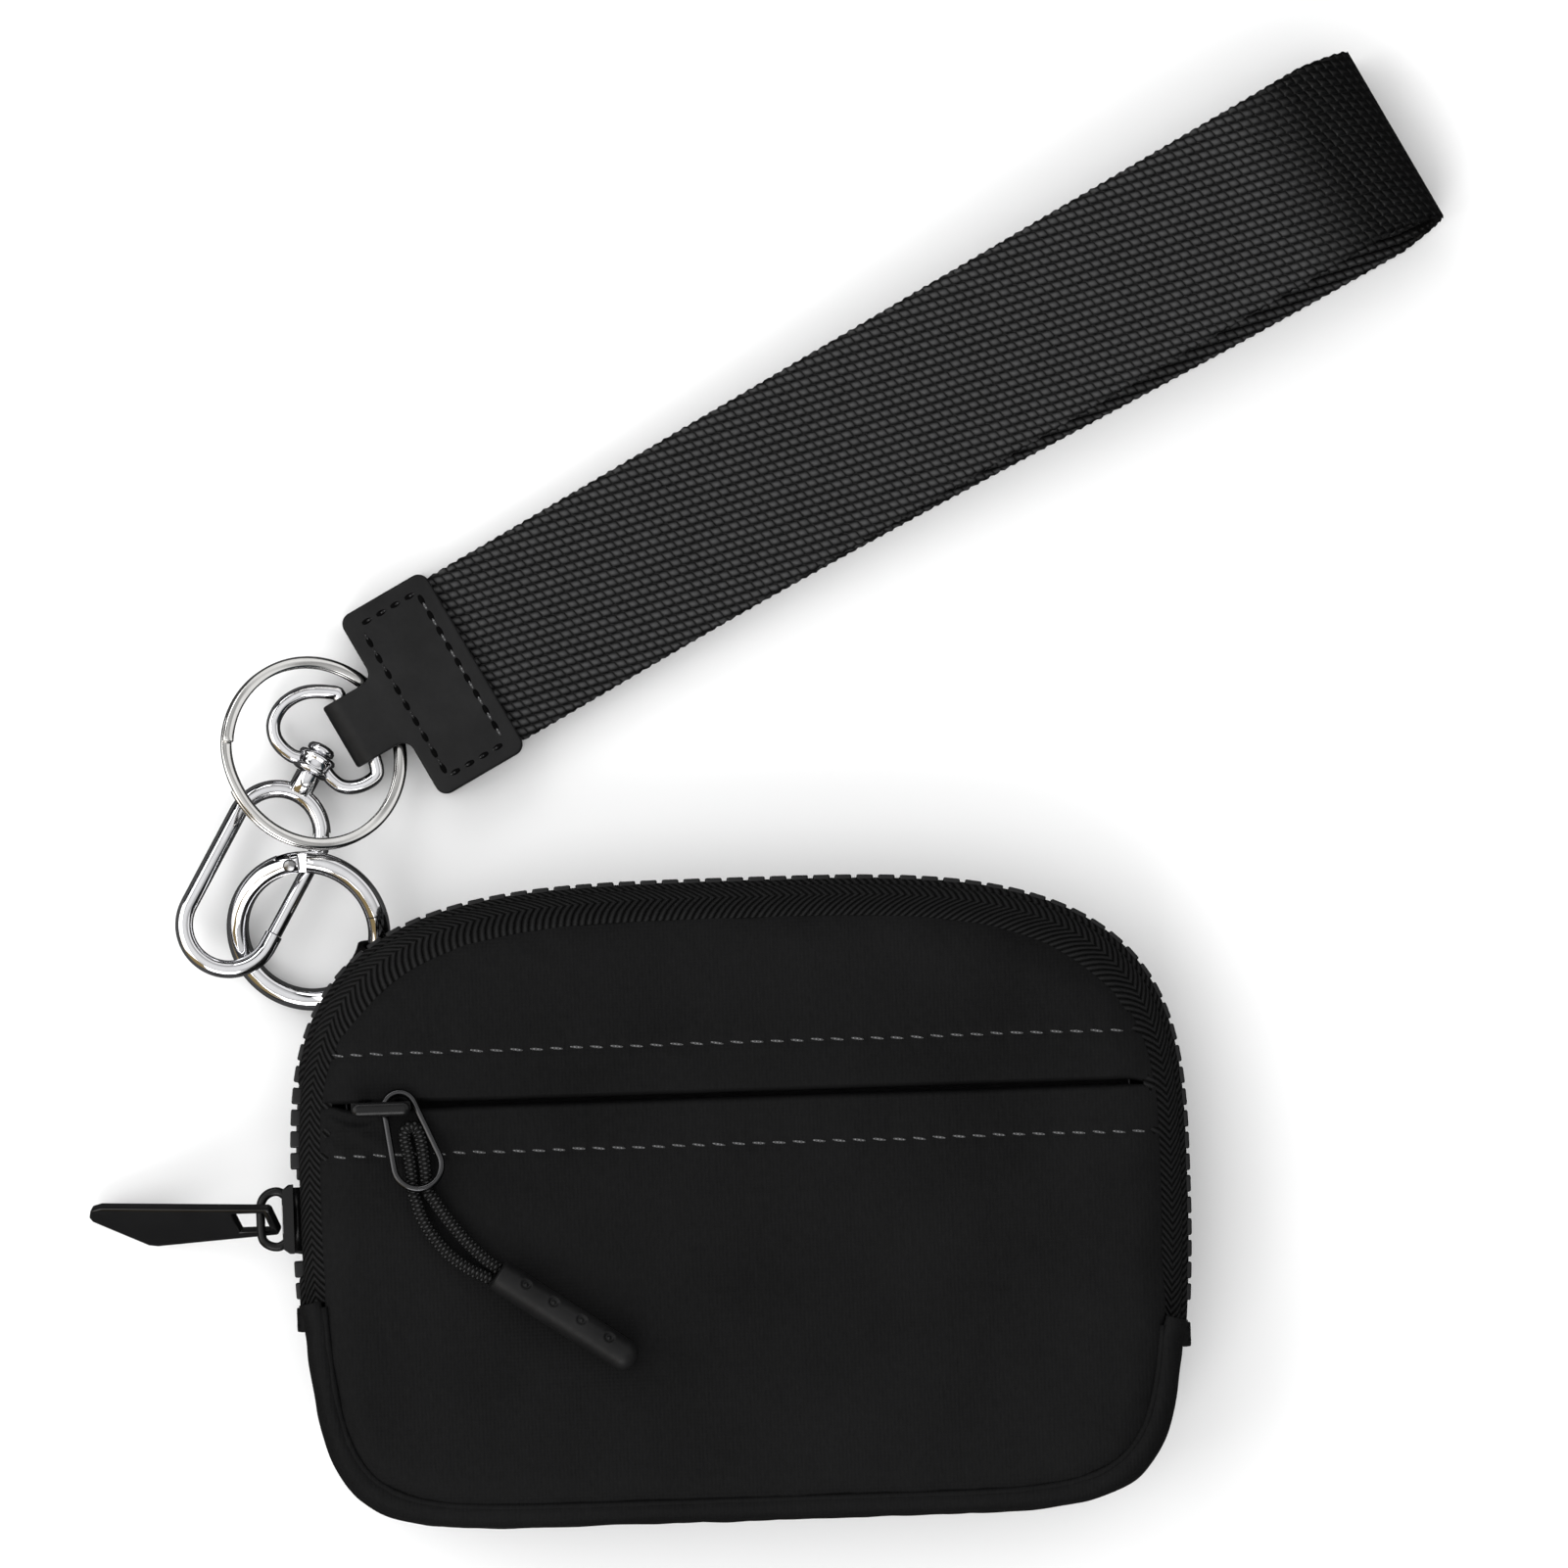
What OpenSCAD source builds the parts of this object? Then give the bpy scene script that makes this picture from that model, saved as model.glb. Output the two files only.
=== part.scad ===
// Small zippered pouch lying on its back, with a gate ring, a swivel hook,
// a key ring and a webbing wrist loop. Millimetres, +Z up out of the front
// face, +X right, +Y towards the top edge. The origin is on the back face,
// in the middle of the outline.

/* [Pouch] */
// Width across the zip teeth
pouch_w = 120.8; // [110:0.2:130]
// Height from the bottom gusset to the top teeth
pouch_h = 87.2; // [80:0.2:95]
// Depth from the back face to the front face
pouch_d = 25.2; // [24:0.2:28]
// Thickness of the padded cloth panels
cloth_t = 1; // [0.8:0.1:1.2]
// Height of the pocket slit above the middle
slit_y = 14.5; // [10:0.5:18]
// Height of the line about which the unzipped front folds
fold_y = -25; // [-28:0.5:-24]

/* [Main zip] */
// Distance between two teeth of one row
tooth_pitch = 2.9; // [2.6:0.1:3.2]
// Thickness of the teeth through the tape
tooth_t = 2.4; // [2.2:0.1:2.6]
// Height of the left zip end
zip_end_left_y = -12.1; // [-16:0.1:-10]
// Height of the right zip end
zip_end_right_y = -17.5; // [-20:0.1:-14]

/* [Hardware] */
// Outer diameter of the gate ring
gate_ring_od = 22.4; // [21:0.1:23]
// Wire diameter of the gate ring
gate_ring_wire = 3; // [2.8:0.1:3.1]
// Wire diameter of the swivel hook
hook_wire = 2.4; // [2.2:0.1:2.5]
// Outer width of the swivel hook
hook_w = 14.4; // [14:0.1:15]
// Outer length of the swivel hook's oval
hook_l = 28.4; // [27:0.1:29]
// Outer diameter of the key ring
key_ring_od = 26.5; // [26:0.1:27]

/* [Wrist strap] */
// Width of the webbing
web_w = 25.4; // [20:0.1:30]
// Thickness of the webbing
web_t = 1.3; // [1:0.1:1.4]
// Length of the strap from the leather fold to the far fold
strap_l = 163.6; // [120:0.2:180]
// Opening height of the loop at its far fold
loop_h = 13.7; // [10:0.1:18]
// Thickness of the leather
leather_t = 1.4; // [1:0.1:1.5]

/* [Hidden] */
$fn = 48;
far = 400;

// Outline of the pouch: a superellipse, squarer and tapered below the middle
half_w = pouch_w / 2;
half_h = pouch_h / 2;
upper_power = 3.55;
lower_power = 8;
lower_taper = 0.07;
outline_step = 3;

// Depth levels
mid_z = 12.5;
front_z = pouch_d - cloth_t;
tape_t = 0.6;
chain_inset = 1.2;
tape_bend = 4.8;
front_inset = 5;
rear_inset = 6.5;
tooth_w = 1.2;
tooth_head = 0.6;
tooth_leg = 2.9;
lane_half = 1.3;
lane_y = [-6.2, 15.6];
gusset_inset = 1;
tab_t = 0.8;
tab_h = 3.4;
tab_half = 4.4;
left_t = 180 - asin(zip_end_left_y / half_w);
right_t = asin(zip_end_right_y / half_w);
dent_t = 144;
dent_half = 20;
dent_in = 2.6;
slit_half = 0.8;

// Main slider, on the straight left run of the zip
slider_y = [-5.6, 4.9];
slider_half = 4.3;
slider_x = -half_w + chain_inset;
bar_x = -64.6;
bar_r = 0.55;
bar_y = -0.3;
pull_dip = 28;
pull_roll = 42;
pull_l = 23.4;
pull_t = 1.3;

// Pocket slider and its pull, on the front face
pocket_x = [-51, -44.8];
bar_z = pouch_d + 1.8;
loop_wire = 1;
loop_lift = 8;
loop_z = pouch_d + 0.8;
loop_top = [-45.4, 14.2];
loop_top_r = 2.1;
loop_low = [-43.2, 6.4];
loop_low_r = 3.1;
cord_d = 1.7;
cord_end_d = 4.4;
cord_end_start = [-33, -8.5];
cord_end_tip = [-14.8, -21];
cord_end_z = pouch_d + cord_end_d / 2 + 0.15;
cord_z = pouch_d + cord_d / 2 + 0.15;
strand_a = [[-43.5, 1.5], [-42.9, -0.6], [-41.4, -3.2], [-39.2, -5.8], [-36.6, -7.8], [-35, -8.6], [-33.8, -9.2]];
strand_b = [[-41.2, 1.8], [-40.2, 0.2], [-38.6, -2], [-36.7, -4.3], [-34.8, -6.2], [-33.6, -7.2], [-32.7, -7.9]];
bight = [
    [-43.85, 2.6], [-44.1, 5.4], [-44.4, 8], [-44.8, 10], [-44.6, 11.2], [-43.9, 11.6],
    [-43.1, 11.2], [-42.6, 9.6], [-42.35, 7.6], [-42.15, 5.4], [-41.95, 3]
];

// Gate ring, tilted, with its low side on the ground
ring_c = [-57, 38.3, 4.75];
ring_tilt = 20;
ring_dir = 56.7;
ring_r = (gate_ring_od - gate_ring_wire) / 2;
ring_gate_a = [14, 100];
tab_a = -30;
sleeve_a = 15;
ring_pin = 1;

// Swivel hook, sloping down from its round end to the swivel
hook_dir = 60.2;
hook_dip = 5.14;
pivot = [-55.53, 60.7, 2.75];
hook_r = (hook_w - hook_wire) / 2;
hook_top = -10.6;
hook_low = hook_top - (hook_l - hook_w);
hook_pin = 0.8;
eye_off = 3.3;
eye_r = 6.55;
eye_wire = 1.9;

// Strap frame: u runs from the middle of the leather block along the strap
strap_dir = 28.4;
strap_o = [-39.25, 70.9];
strap_z = 2.75;
block_u = 6.6;
block_v = 13.9;
fold_u = -11.7;
neck_v = 4.7;
fold_r = 1.3;
far_u = strap_l + fold_u - fold_r - leather_t;
key_u = -7.1;
key_z = 2.5;
key_tilt = 25;
key_w = 1.5;
key_t = 1.6;

function half_power(y) = y < 0 ? lower_power : upper_power;
function squash(y, b) = y < 0 ? 1 - lower_taper * pow(y / b, 2) : 1;
function reach(a, b, t) =
    let (n = half_power(sin(t)))
    pow(pow(abs(cos(t)) / a, n) + pow(abs(sin(t)) / b, n), -1 / n);
function edge_point(t, inset) =
    let (a = half_w - inset, b = half_h - inset, r = reach(a, b, t), y = r * sin(t))
    [r * cos(t) * squash(y, b), y];

// The zip's course along the outline, from its left end to its right end
course = [for (t = 200; t >= -24; t = t - 1) edge_point(t, chain_inset)];
course_t = [for (t = 200; t >= -24; t = t - 1) t];
course_s = [
    for (i = 0, s = 0; i < len(course); s = s + (i < len(course) - 1 ? norm(course[i + 1] - course[i]) : 0), i = i + 1)
        [s, course_t[i]]
];
course_len = course_s[len(course_s) - 1][0];
function end_y(x) = x < 0 ? zip_end_left_y : zip_end_right_y;
function tooth_spots(shift) = [
    for (s = shift; s < course_len; s = s + tooth_pitch)
        let (p = edge_point(lookup(s, course_s), chain_inset))
            if (p[1] > end_y(p[0]) + 2 && !(p[0] < 0 && p[1] > slider_y[0] - 0.6 && p[1] < slider_y[1] + 0.6)) s
];

module outline(inset) {
    polygon([for (t = [0:outline_step:360 - outline_step]) edge_point(t, inset)]);
}

// A wall that follows the outline from angle t0 to t1, with a section of [inset, height]
// points; the rows of points numbered in dent_rows are pushed in where the gate ring lies
function dent(t) = let (x = (t - dent_t) / dent_half) abs(x) < 1 ? dent_in * pow(cos(90 * x), 2) : 0;
module wall_strip(section, t0, t1, dent_rows = []) {
    steps = round(abs(t1 - t0) / outline_step);
    n = len(section);
    rows = [
        for (i = [0:steps], k = [0:n - 1])
            let (t = t0 + (t1 - t0) * i / steps, push = search(k, dent_rows) == [] ? 0 : dent(t))
            let (p = edge_point(t, section[k][0] + push)) [p[0], p[1], section[k][1]]
    ];
    sides = [
        for (i = [0:steps - 1], k = [0:n - 1])
            let (a = i * n + k, b = i * n + (k + 1) % n)
                each [[a, b, b + n], [a, b + n, a + n]]
    ];
    caps = [[for (k = [n - 1:-1:0]) k], [for (k = [0:n - 1]) steps * n + k]];
    polyhedron(rows, concat(sides, caps));
}

module slab(y0, y1, inset, z, t) {
    translate([0, 0, z])
        linear_extrude(t)
            intersection() {
                outline(inset);
                translate([-far / 2, y0]) square([far, y1 - y0]);
            }
}

module rear_panel() {
    color("#1c1c1e") slab(-far, far, rear_inset - 0.2, 0, cloth_t);
}

module rear_lining() {
    color("#26262a") slab(-far, far, rear_inset + 2, cloth_t, 0.4);
}

module rear_zip_tape() {
    bend = chain_inset - tape_t / 2;
    foot = rear_inset - tape_t / 2;
    half = (bend + foot) / 2;
    color("#151515")
        wall_strip([
            [bend, mid_z - tooth_leg], [bend, mid_z - tooth_leg - 0.8], [half, (mid_z - tape_bend + cloth_t) / 2], [foot, cloth_t],
            [foot + tape_t, cloth_t], [half + tape_t, (mid_z - tape_bend + cloth_t) / 2 + 0.3],
            [bend + tape_t, mid_z - tooth_leg - 0.6], [bend + tape_t, mid_z - tooth_leg]
        ], left_t - 0.6, right_t + 0.6, [1, 2, 5, 6]);
}

module front_zip_tape() {
    bend = chain_inset - tape_t / 2;
    head = front_inset - tape_t / 2;
    color("#151515")
        wall_strip([
            [bend + tape_t, mid_z + tooth_leg], [bend + tape_t, mid_z + tape_bend], [head + tape_t, front_z],
            [head, front_z], [bend, mid_z + tape_bend], [bend, mid_z + tooth_leg]
        ], left_t - 1, right_t + 1);
}

// One row of teeth; side is 1 for the front row and -1 for the rear row
module tooth_row(side, shift) {
    for (s = tooth_spots(shift)) {
        t = lookup(s, course_s);
        p = edge_point(t, chain_inset);
        q = edge_point(t - 0.5, chain_inset) - edge_point(t + 0.5, chain_inset);
        in_lane = p[0] < 0 && p[1] > lane_y[0] && p[1] < lane_y[1];
        head = in_lane ? -lane_half : tooth_head;
        translate([p[0], p[1], mid_z])
            rotate([0, 0, atan2(q[1], q[0])])
                translate([-tooth_w / 2, -tooth_t / 2, side > 0 ? -head : -tooth_leg])
                    cube([tooth_w, tooth_t, tooth_leg + head]);
    }
}

module front_teeth() {
    color("#222224") tooth_row(1, tooth_pitch / 2);
}

module rear_teeth() {
    color("#222224") tooth_row(-1, 0);
}

// Bottom and lower side walls, below the zip ends
module gusset() {
    foot = rear_inset - 0.2;
    head = front_inset - 1;
    color("#1a1a1c")
        wall_strip([
            [head + cloth_t, front_z - 0.2], [head, front_z - 0.2], [gusset_inset, mid_z], [foot, cloth_t],
            [foot + cloth_t, cloth_t], [gusset_inset + cloth_t, mid_z]
        ], right_t - 1.6 + 360, left_t + 1.6);
}

module front_base_panel() {
    color("#1c1c1e") slab(-far, fold_y - 0.2, front_inset - 1.2, front_z - 0.2, cloth_t + 0.2);
}

// Cloth tabs sewn over both ends of the zip, outside the gusset
module zip_end_tabs() {
    color("#18181a")
        for (t = [left_t, right_t]) {
            p = edge_point(t, gusset_inset);
            side = sign(p[0]);
            translate([p[0] - (side > 0 ? 0 : tab_t), p[1] - tab_h, mid_z - tab_half])
                cube([tab_t, tab_h, 2 * tab_half]);
        }
}

module in_ring_frame() {
    translate(ring_c) rotate([0, 0, ring_dir]) rotate([0, -ring_tilt, 0]) rotate([0, 0, -ring_dir]) children();
}

module arc(r, wire, a0, a1) {
    rotate([0, 0, a0]) rotate_extrude(angle = a1 - a0) translate([r, 0]) circle(d = wire);
}

module rod(p, q, d) {
    v = q - p;
    translate(p) rotate([0, acos(v[2] / norm(v)), atan2(v[1], v[0])]) cylinder(d = d, h = norm(v));
}

// Cloth loop sewn into the rear seam, round the gate ring
module loop_tab() {
    color("#161616") {
        in_ring_frame()
            rotate([0, 0, tab_a - sleeve_a])
                rotate_extrude(angle = 2 * sleeve_a)
                    translate([ring_r, 0])
                        difference() {
                            circle(r = gate_ring_wire / 2 + 1.3);
                            circle(r = gate_ring_wire / 2 + 0.5);
                        }
        translate([ring_c[0], ring_c[1], 0])
            rotate([0, 0, tab_a])
                translate([ring_r + gate_ring_wire / 2 + 0.9, -2.4, 1.4])
                    cube([4.2, 4.8, 1.8]);
    }
}

module front_yoke() {
    color("#202022") slab(slit_y + slit_half, far, front_inset - 0.2, front_z, cloth_t);
}

module pocket_panel() {
    color("#1c1c1e") slab(fold_y + 0.2, slit_y - slit_half, front_inset - 0.2, front_z, cloth_t);
}

module front_lining() {
    color("#26262a") slab(fold_y + 1, half_h, front_inset + 3, front_z - 6.6, 0.4);
}

module pocket_zip_tape() {
    color("#101010")
        for (side = [-1, 1])
            translate([-52.3, 0, 0]) {
                translate([0, side > 0 ? slit_y + 0.9 : slit_y - 6, front_z - 1.7]) cube([104.6, 5.1, 0.5]);
                translate([0, side > 0 ? slit_y + 4.8 : slit_y - 6, front_z - 1.2]) cube([104.6, 1.2, 1.2]);
            }
}

module pocket_coil() {
    color("#202022")
        for (side = [-1, 1])
            translate([-52.3, slit_y + side * 1.7 - 0.8, front_z - 3])
                cube([104.6, 1.6, 1.3]);
}

// Inner bag of the front pocket, a shallow tray that hangs from the tape
module pocket_bag() {
    color("#28282c")
        difference() {
            translate([-52.6, -22, front_z - 6]) cube([105.2, 45, 6]);
            translate([-52.4, -21.7, front_z - 5.7]) cube([104.8, 44.4, 6]);
        }
}

// Slider body cut from one extrusion: two plates with flanges, open for the tape
module slider_shell(len, half, gap, plate, slot) {
    rotate([90, 0, 0])
        linear_extrude(len, center = true)
            difference() {
                square([gap + 2 * plate, 2 * half], center = true);
                square([gap, 2 * half - 1.4], center = true);
                square([slot, 2 * half + 1], center = true);
            }
}

module main_slider() {
    mid = (slider_y[0] + slider_y[1]) / 2;
    color("#2a2a2c") {
        translate([slider_x, mid, mid_z])
            slider_shell(slider_y[1] - slider_y[0], slider_half, tooth_t + 0.8, 1, 1.9);
        translate([slider_x - 2, slider_y[0] + 0.2, mid_z - 0.9]) cube([4, 2, 1.8]);
        for (y = [-3.9, 2.5])
            translate([bar_x, bar_y + y, mid_z - 0.8])
                cube([slider_x - tooth_t / 2 - 0.6 - bar_x, 1.4, 1.6]);
        translate([bar_x, bar_y - 3.9, mid_z]) rotate([-90, 0, 0]) cylinder(r = bar_r, h = 7.8);
    }
}

// Long flat pull with a slanted free end and a slot round the slider's bar
module main_pull() {
    color("#18181a")
        translate([bar_x, bar_y, mid_z])
            rotate([0, -pull_dip, 0])
                rotate([pull_roll, 0, 0])
                    translate([0, 0, -pull_t / 2])
                        linear_extrude(pull_t)
                            difference() {
                                polygon([
                                    [1.9, -2.3], [2.2, -2], [2.2, 2], [1.9, 2.3],
                                    [-pull_l + 2, 3.4], [-pull_l + 0.6, 3], [-pull_l, 1.8], [-pull_l + 0.2, 1],
                                    [-pull_l + 6.4, -3.6], [-pull_l + 7.6, -3.8]
                                ]);
                                translate([-3.4, -1.68]) square([4.6, 3.36]);
                            }
}

module pocket_slider() {
    mid = (pocket_x[0] + pocket_x[1]) / 2;
    color("#242426") {
        difference() {
            translate([mid - 4, slit_y - 3.4, front_z - 4.1]) cube([8, 6.8, 3.9]);
            translate([mid - 5, slit_y - 2.7, front_z - 3.2]) cube([10, 5.4, 1.6]);
            translate([mid - 5, slit_y - 5, front_z - 2]) cube([10, 10, 0.9]);
        }
        translate([pocket_x[0] + 0.4, slit_y - 0.55, front_z - 4]) cube([1.4, 1.1, 4.8 + cloth_t]);
        for (x = [pocket_x[0], pocket_x[1] - 1.2])
            translate([x, slit_y - 0.55, front_z - 1]) cube([1.2, 1.1, 3 + cloth_t]);
        translate([pocket_x[0], slit_y - 1.35, bar_z]) cube([pocket_x[1] - pocket_x[0], 1.95, 1.1]);
    }
}

// Round tube swept along points that lie in one plane
function tube_frame(pts, i, closed = false) =
    let (n = len(pts))
    let (a = closed ? pts[(i + n - 1) % n] : pts[max(i - 1, 0)], b = closed ? pts[(i + 1) % n] : pts[min(i + 1, n - 1)])
    let (d = b - a) [-d[1], d[0]] / norm(d);
module flat_tube(pts, z, d, sides = 8, closed = false) {
    n = len(pts);
    rings = [
        for (i = [0:n - 1], k = [0:sides - 1])
            let (f = tube_frame(pts, i, closed), c = d / 2 * cos(k * 360 / sides), s = d / 2 * sin(k * 360 / sides))
                [pts[i][0] + c * f[0], pts[i][1] + c * f[1], z + s]
    ];
    walls = [
        for (i = [0:n - (closed ? 1 : 2)], k = [0:sides - 1])
            let (m = (i + 1) % n, j = (k + 1) % sides)
                each [[i * sides + k, m * sides + k, m * sides + j], [i * sides + k, m * sides + j, i * sides + j]]
    ];
    start = [for (k = [0:sides - 1]) k];
    stop = [for (k = [sides - 1:-1:0]) (n - 1) * sides + k];
    polyhedron(rings, closed ? walls : concat(walls, [start, stop]));
}

// Points along an arc from angle a0 to a1
function arc_points(c, r, a0, a1, n) = [for (i = [0:n]) let (a = a0 + (a1 - a0) * i / n) c + r * [cos(a), sin(a)]];
function link_points(c1, r1, c2, r2) =
    let (v = c2 - c1, base = atan2(v[1], v[0]), a = acos((r1 - r2) / norm(v)))
    concat(arc_points(c1, r1, base + a, base - a + 360, 12), arc_points(c2, r2, base - a, base + a, 14));

// Pear-shaped wire loop; its low end rests on the cord
module pull_wire_loop() {
    color("#38383a")
        translate([0, loop_top[1], loop_z])
            rotate([-loop_lift, 0, 0])
                translate([0, -loop_top[1], 0])
                    flat_tube(link_points(loop_top, loop_top_r, loop_low, loop_low_r), 0, loop_wire, 10, true);
}

module cord_bight() {
    color("#161616") flat_tube(bight, cord_z, cord_d);
}

module pull_cord() {
    color("#161616") {
        flat_tube(strand_a, cord_z, cord_d);
        flat_tube(strand_b, cord_z, cord_d);
    }
}

module cord_end() {
    v = cord_end_tip - cord_end_start;
    color("#2c2c2e")
        translate([cord_end_start[0], cord_end_start[1], cord_end_z])
            rotate([0, 0, atan2(v[1], v[0])])
                rotate([0, 90, 0])
                    difference() {
                        union() {
                            cylinder(d = cord_end_d, h = norm(v) - cord_end_d / 2);
                            translate([0, 0, norm(v) - cord_end_d / 2]) sphere(d = cord_end_d);
                        }
                        for (i = [0:3])
                            translate([-cord_end_d / 2 - 0.1, 0, 4 + i * 4.4])
                                rotate([0, 90, 0])
                                    cylinder(d = 1.1, h = 0.5);
                    }
}

module gate_ring() {
    color("#c8c8cc")
        in_ring_frame()
            difference() {
                arc(ring_r, gate_ring_wire, ring_gate_a[1] - 6, 360 + ring_gate_a[0] - 1);
                rotate([0, 0, ring_gate_a[1]])
                    translate([ring_r, 0, -0.85]) {
                        cylinder(r = 2.3, h = 1.7);
                        translate([-2.3, -4, 0]) cube([4.6, 4, 1.7]);
                        translate([0, 0, -2]) cylinder(d = ring_pin, h = 6);
                    }
            }
}

module ring_gate() {
    color("#d4d4d8")
        in_ring_frame()
            difference() {
                union() {
                    arc(ring_r, gate_ring_wire, ring_gate_a[0], ring_gate_a[1] - 13);
                    intersection() {
                        arc(ring_r, gate_ring_wire - 0.2, ring_gate_a[1] - 14, ring_gate_a[1] + 8);
                        rotate([0, 0, ring_gate_a[1]])
                            translate([ring_r, 0, -0.6]) {
                                cylinder(r = 1.4, h = 1.2);
                                translate([-1.4, -4, 0]) cube([2.8, 4, 1.2]);
                            }
                    }
                }
                rotate([0, 0, ring_gate_a[1]]) translate([ring_r, 0, -2]) cylinder(d = 1.1, h = 4);
            }
}

module ring_gate_pin() {
    color("#909094")
        in_ring_frame()
            rotate([0, 0, ring_gate_a[1]])
                translate([ring_r, 0, -gate_ring_wire / 2 - 0.1])
                    cylinder(d = ring_pin, h = gate_ring_wire + 0.2);
}

// The hook's own frame: X along its length towards the swivel, origin in the hub
module in_hook_frame() {
    translate(pivot) rotate([0, 0, hook_dir]) rotate([0, hook_dip, 0]) children();
}

gate_hinge = [hook_top + 1.2, -hook_r];
gate_nose = hook_top - 12.2;

module hook_body() {
    color("#c8c8cc")
        in_hook_frame()
            difference() {
                union() {
                    translate([hook_top, 0, 0]) arc(hook_r, hook_wire, -84, 90);
                    translate([hook_low, 0, 0]) arc(hook_r, hook_wire, 90, 270);
                    rod([hook_low, hook_r, 0], [hook_top, hook_r, 0], hook_wire);
                    rod([hook_low, -hook_r, 0], [gate_nose - 0.15, -hook_r, 0], hook_wire);
                    rod([hook_top + hook_r, 0, 0], [-1.65, 0, 0], 3.4);
                }
                translate([hook_top - 1, -hook_r - 1.6, -0.7]) cube([4.4, 3.2, 1.4]);
                translate([gate_hinge[0], gate_hinge[1], -2]) cylinder(d = hook_pin, h = 4);
            }
}

// Stem through the hub, closed by a riveted head
module hook_rivet() {
    color("#b4b4b8")
        in_hook_frame() {
            rod([-1.65, 0, 0], [1.6, 0, 0], 2.1);
            rod([1.6, 0, 0], [2.9, 0, 0], 3.8);
        }
}

module hook_gate() {
    color("#d4d4d8")
        in_hook_frame()
            difference() {
                union() {
                    rod([gate_nose, -hook_r, 0], [hook_top + 0.1, -hook_r, 0], 2);
                    translate([hook_top - 0.5, -hook_r - 0.8, -0.5]) cube([2.4, 1.6, 1]);
                }
                translate([gate_hinge[0], gate_hinge[1], -2]) cylinder(d = hook_pin + 0.1, h = 4);
            }
}

module hook_gate_pin() {
    color("#909094")
        in_hook_frame()
            translate([gate_hinge[0], gate_hinge[1], -hook_wire / 2])
                cylinder(d = hook_pin, h = hook_wire);
}

// Eye of the swivel: a ring with a straight bar in the leather and a hub on the stem
eye_c = [pivot[0] + cos(hook_dir) * eye_off, pivot[1] + sin(hook_dir) * eye_off];
eye_bar = fold_u - eye_u(eye_c);
hub_a = hook_dir - strap_dir + 180;
hub_c = eye_off * [cos(hub_a), sin(hub_a)];
hub_side = 1.75 * [sin(hub_a), -cos(hub_a)];
eye_path = concat(
    [hub_c + hub_side * -1, hub_c + hub_side * -1.6],
    arc_points([0, 0], eye_r, hub_a + 50, 285, 3),
    [for (p = [[-0.9, -6.35], [-0.2, -6], [0, -5.5], [0, -3], [0, 0], [0, 3], [0, 5.2], [-0.2, 5.75], [-0.9, 6.1]]) [eye_bar + p[0], p[1]]],
    arc_points([0, 0], eye_r, 68, hub_a - 50, 9),
    [hub_c + hub_side * 1.6, hub_c + hub_side]
);
module swivel_eye() {
    color("#c4c4c8") {
        translate([eye_c[0], eye_c[1], 0])
            rotate([0, 0, strap_dir])
                flat_tube(eye_path, strap_z, eye_wire, 12);
        in_hook_frame()
            difference() {
                rod([-1.4, 0, 0], [1.4, 0, 0], 5.2);
                rod([-2, 0, 0], [2, 0, 0], 2.4);
            }
    }
}

function eye_u(p) = (p[0] - strap_o[0]) * cos(strap_dir) + (p[1] - strap_o[1]) * sin(strap_dir);

module in_strap_frame() {
    translate([strap_o[0], strap_o[1], 0]) rotate([0, 0, strap_dir]) children();
}

// One T-shaped wing of the leather tab: a stitched block and a narrow neck
module leather_wing(z) {
    r = 1.6;
    translate([0, 0, z])
        linear_extrude(leather_t)
            difference() {
                union() {
                    square([2 * block_u - 2 * r, 2 * block_v], center = true);
                    square([2 * block_u, 2 * block_v - 2 * r], center = true);
                    for (x = [-1, 1], y = [-1, 1])
                        translate([x * (block_u - r), y * (block_v - r)]) circle(r = r);
                    translate([fold_u, -neck_v]) square([-fold_u, 2 * neck_v]);
                    for (y = [-1, 1])
                        translate([-block_u - r, y > 0 ? neck_v : -neck_v - r]) square([r, r]);
                }
                for (y = [-1, 1])
                    translate([-block_u - r, y * (neck_v + r)]) circle(r = r);
            }
}

module leather_tab() {
    color("#323234")
        in_strap_frame() {
            leather_wing(strap_z - fold_r - leather_t);
            leather_wing(strap_z + fold_r);
            translate([fold_u, 0, strap_z])
                rotate([90, 0, 0])
                    rotate([0, 0, 90])
                        translate([0, 0, -neck_v])
                            rotate_extrude(angle = 180)
                                translate([fold_r, 0])
                                    square([leather_t, 2 * neck_v]);
        }
}

// Centre line of the webbing in the strap's side view
far_r = (loop_h - web_t) / 2;
web_in_u = -4.6;
web_low_z = web_t / 2 + 0.05;
function ease(x) = let (t = min(max(x, 0), 1)) t * t * (3 - 2 * t);
lower_line = [
    for (u = [web_in_u:3:block_u + 12])
        [u, web_low_z + (strap_z - web_t / 2 - web_low_z) * (1 - ease((u - block_u) / 11))]
];
far_line = [
    for (a = [-90:15:90])
        [far_u - far_r - web_t / 2 + far_r * cos(a), web_low_z + far_r + far_r * sin(a)]
];
upper_start = far_u - far_r - web_t / 2;
upper_line = [
    for (u = [upper_start - 8:-8:block_u + 2])
        [u, strap_z + web_t / 2 + (web_low_z + 2 * far_r - strap_z - web_t / 2) * ease((u - block_u) / (upper_start - block_u))]
];
web_line = concat(lower_line, far_line, upper_line, [[web_in_u, strap_z + web_t / 2]]);
function web_side(i, side) = web_line[i] + side * web_t / 2 * tube_frame(web_line, i);

module webbing_loop() {
    n = len(web_line) - 1;
    color("#2e2e30")
        in_strap_frame()
            rotate([90, 0, 0])
                linear_extrude(web_w, center = true)
                    polygon(concat([for (i = [0:n]) web_side(i, 1)], [for (i = [n:-1:0]) web_side(i, -1)]));
}

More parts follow.
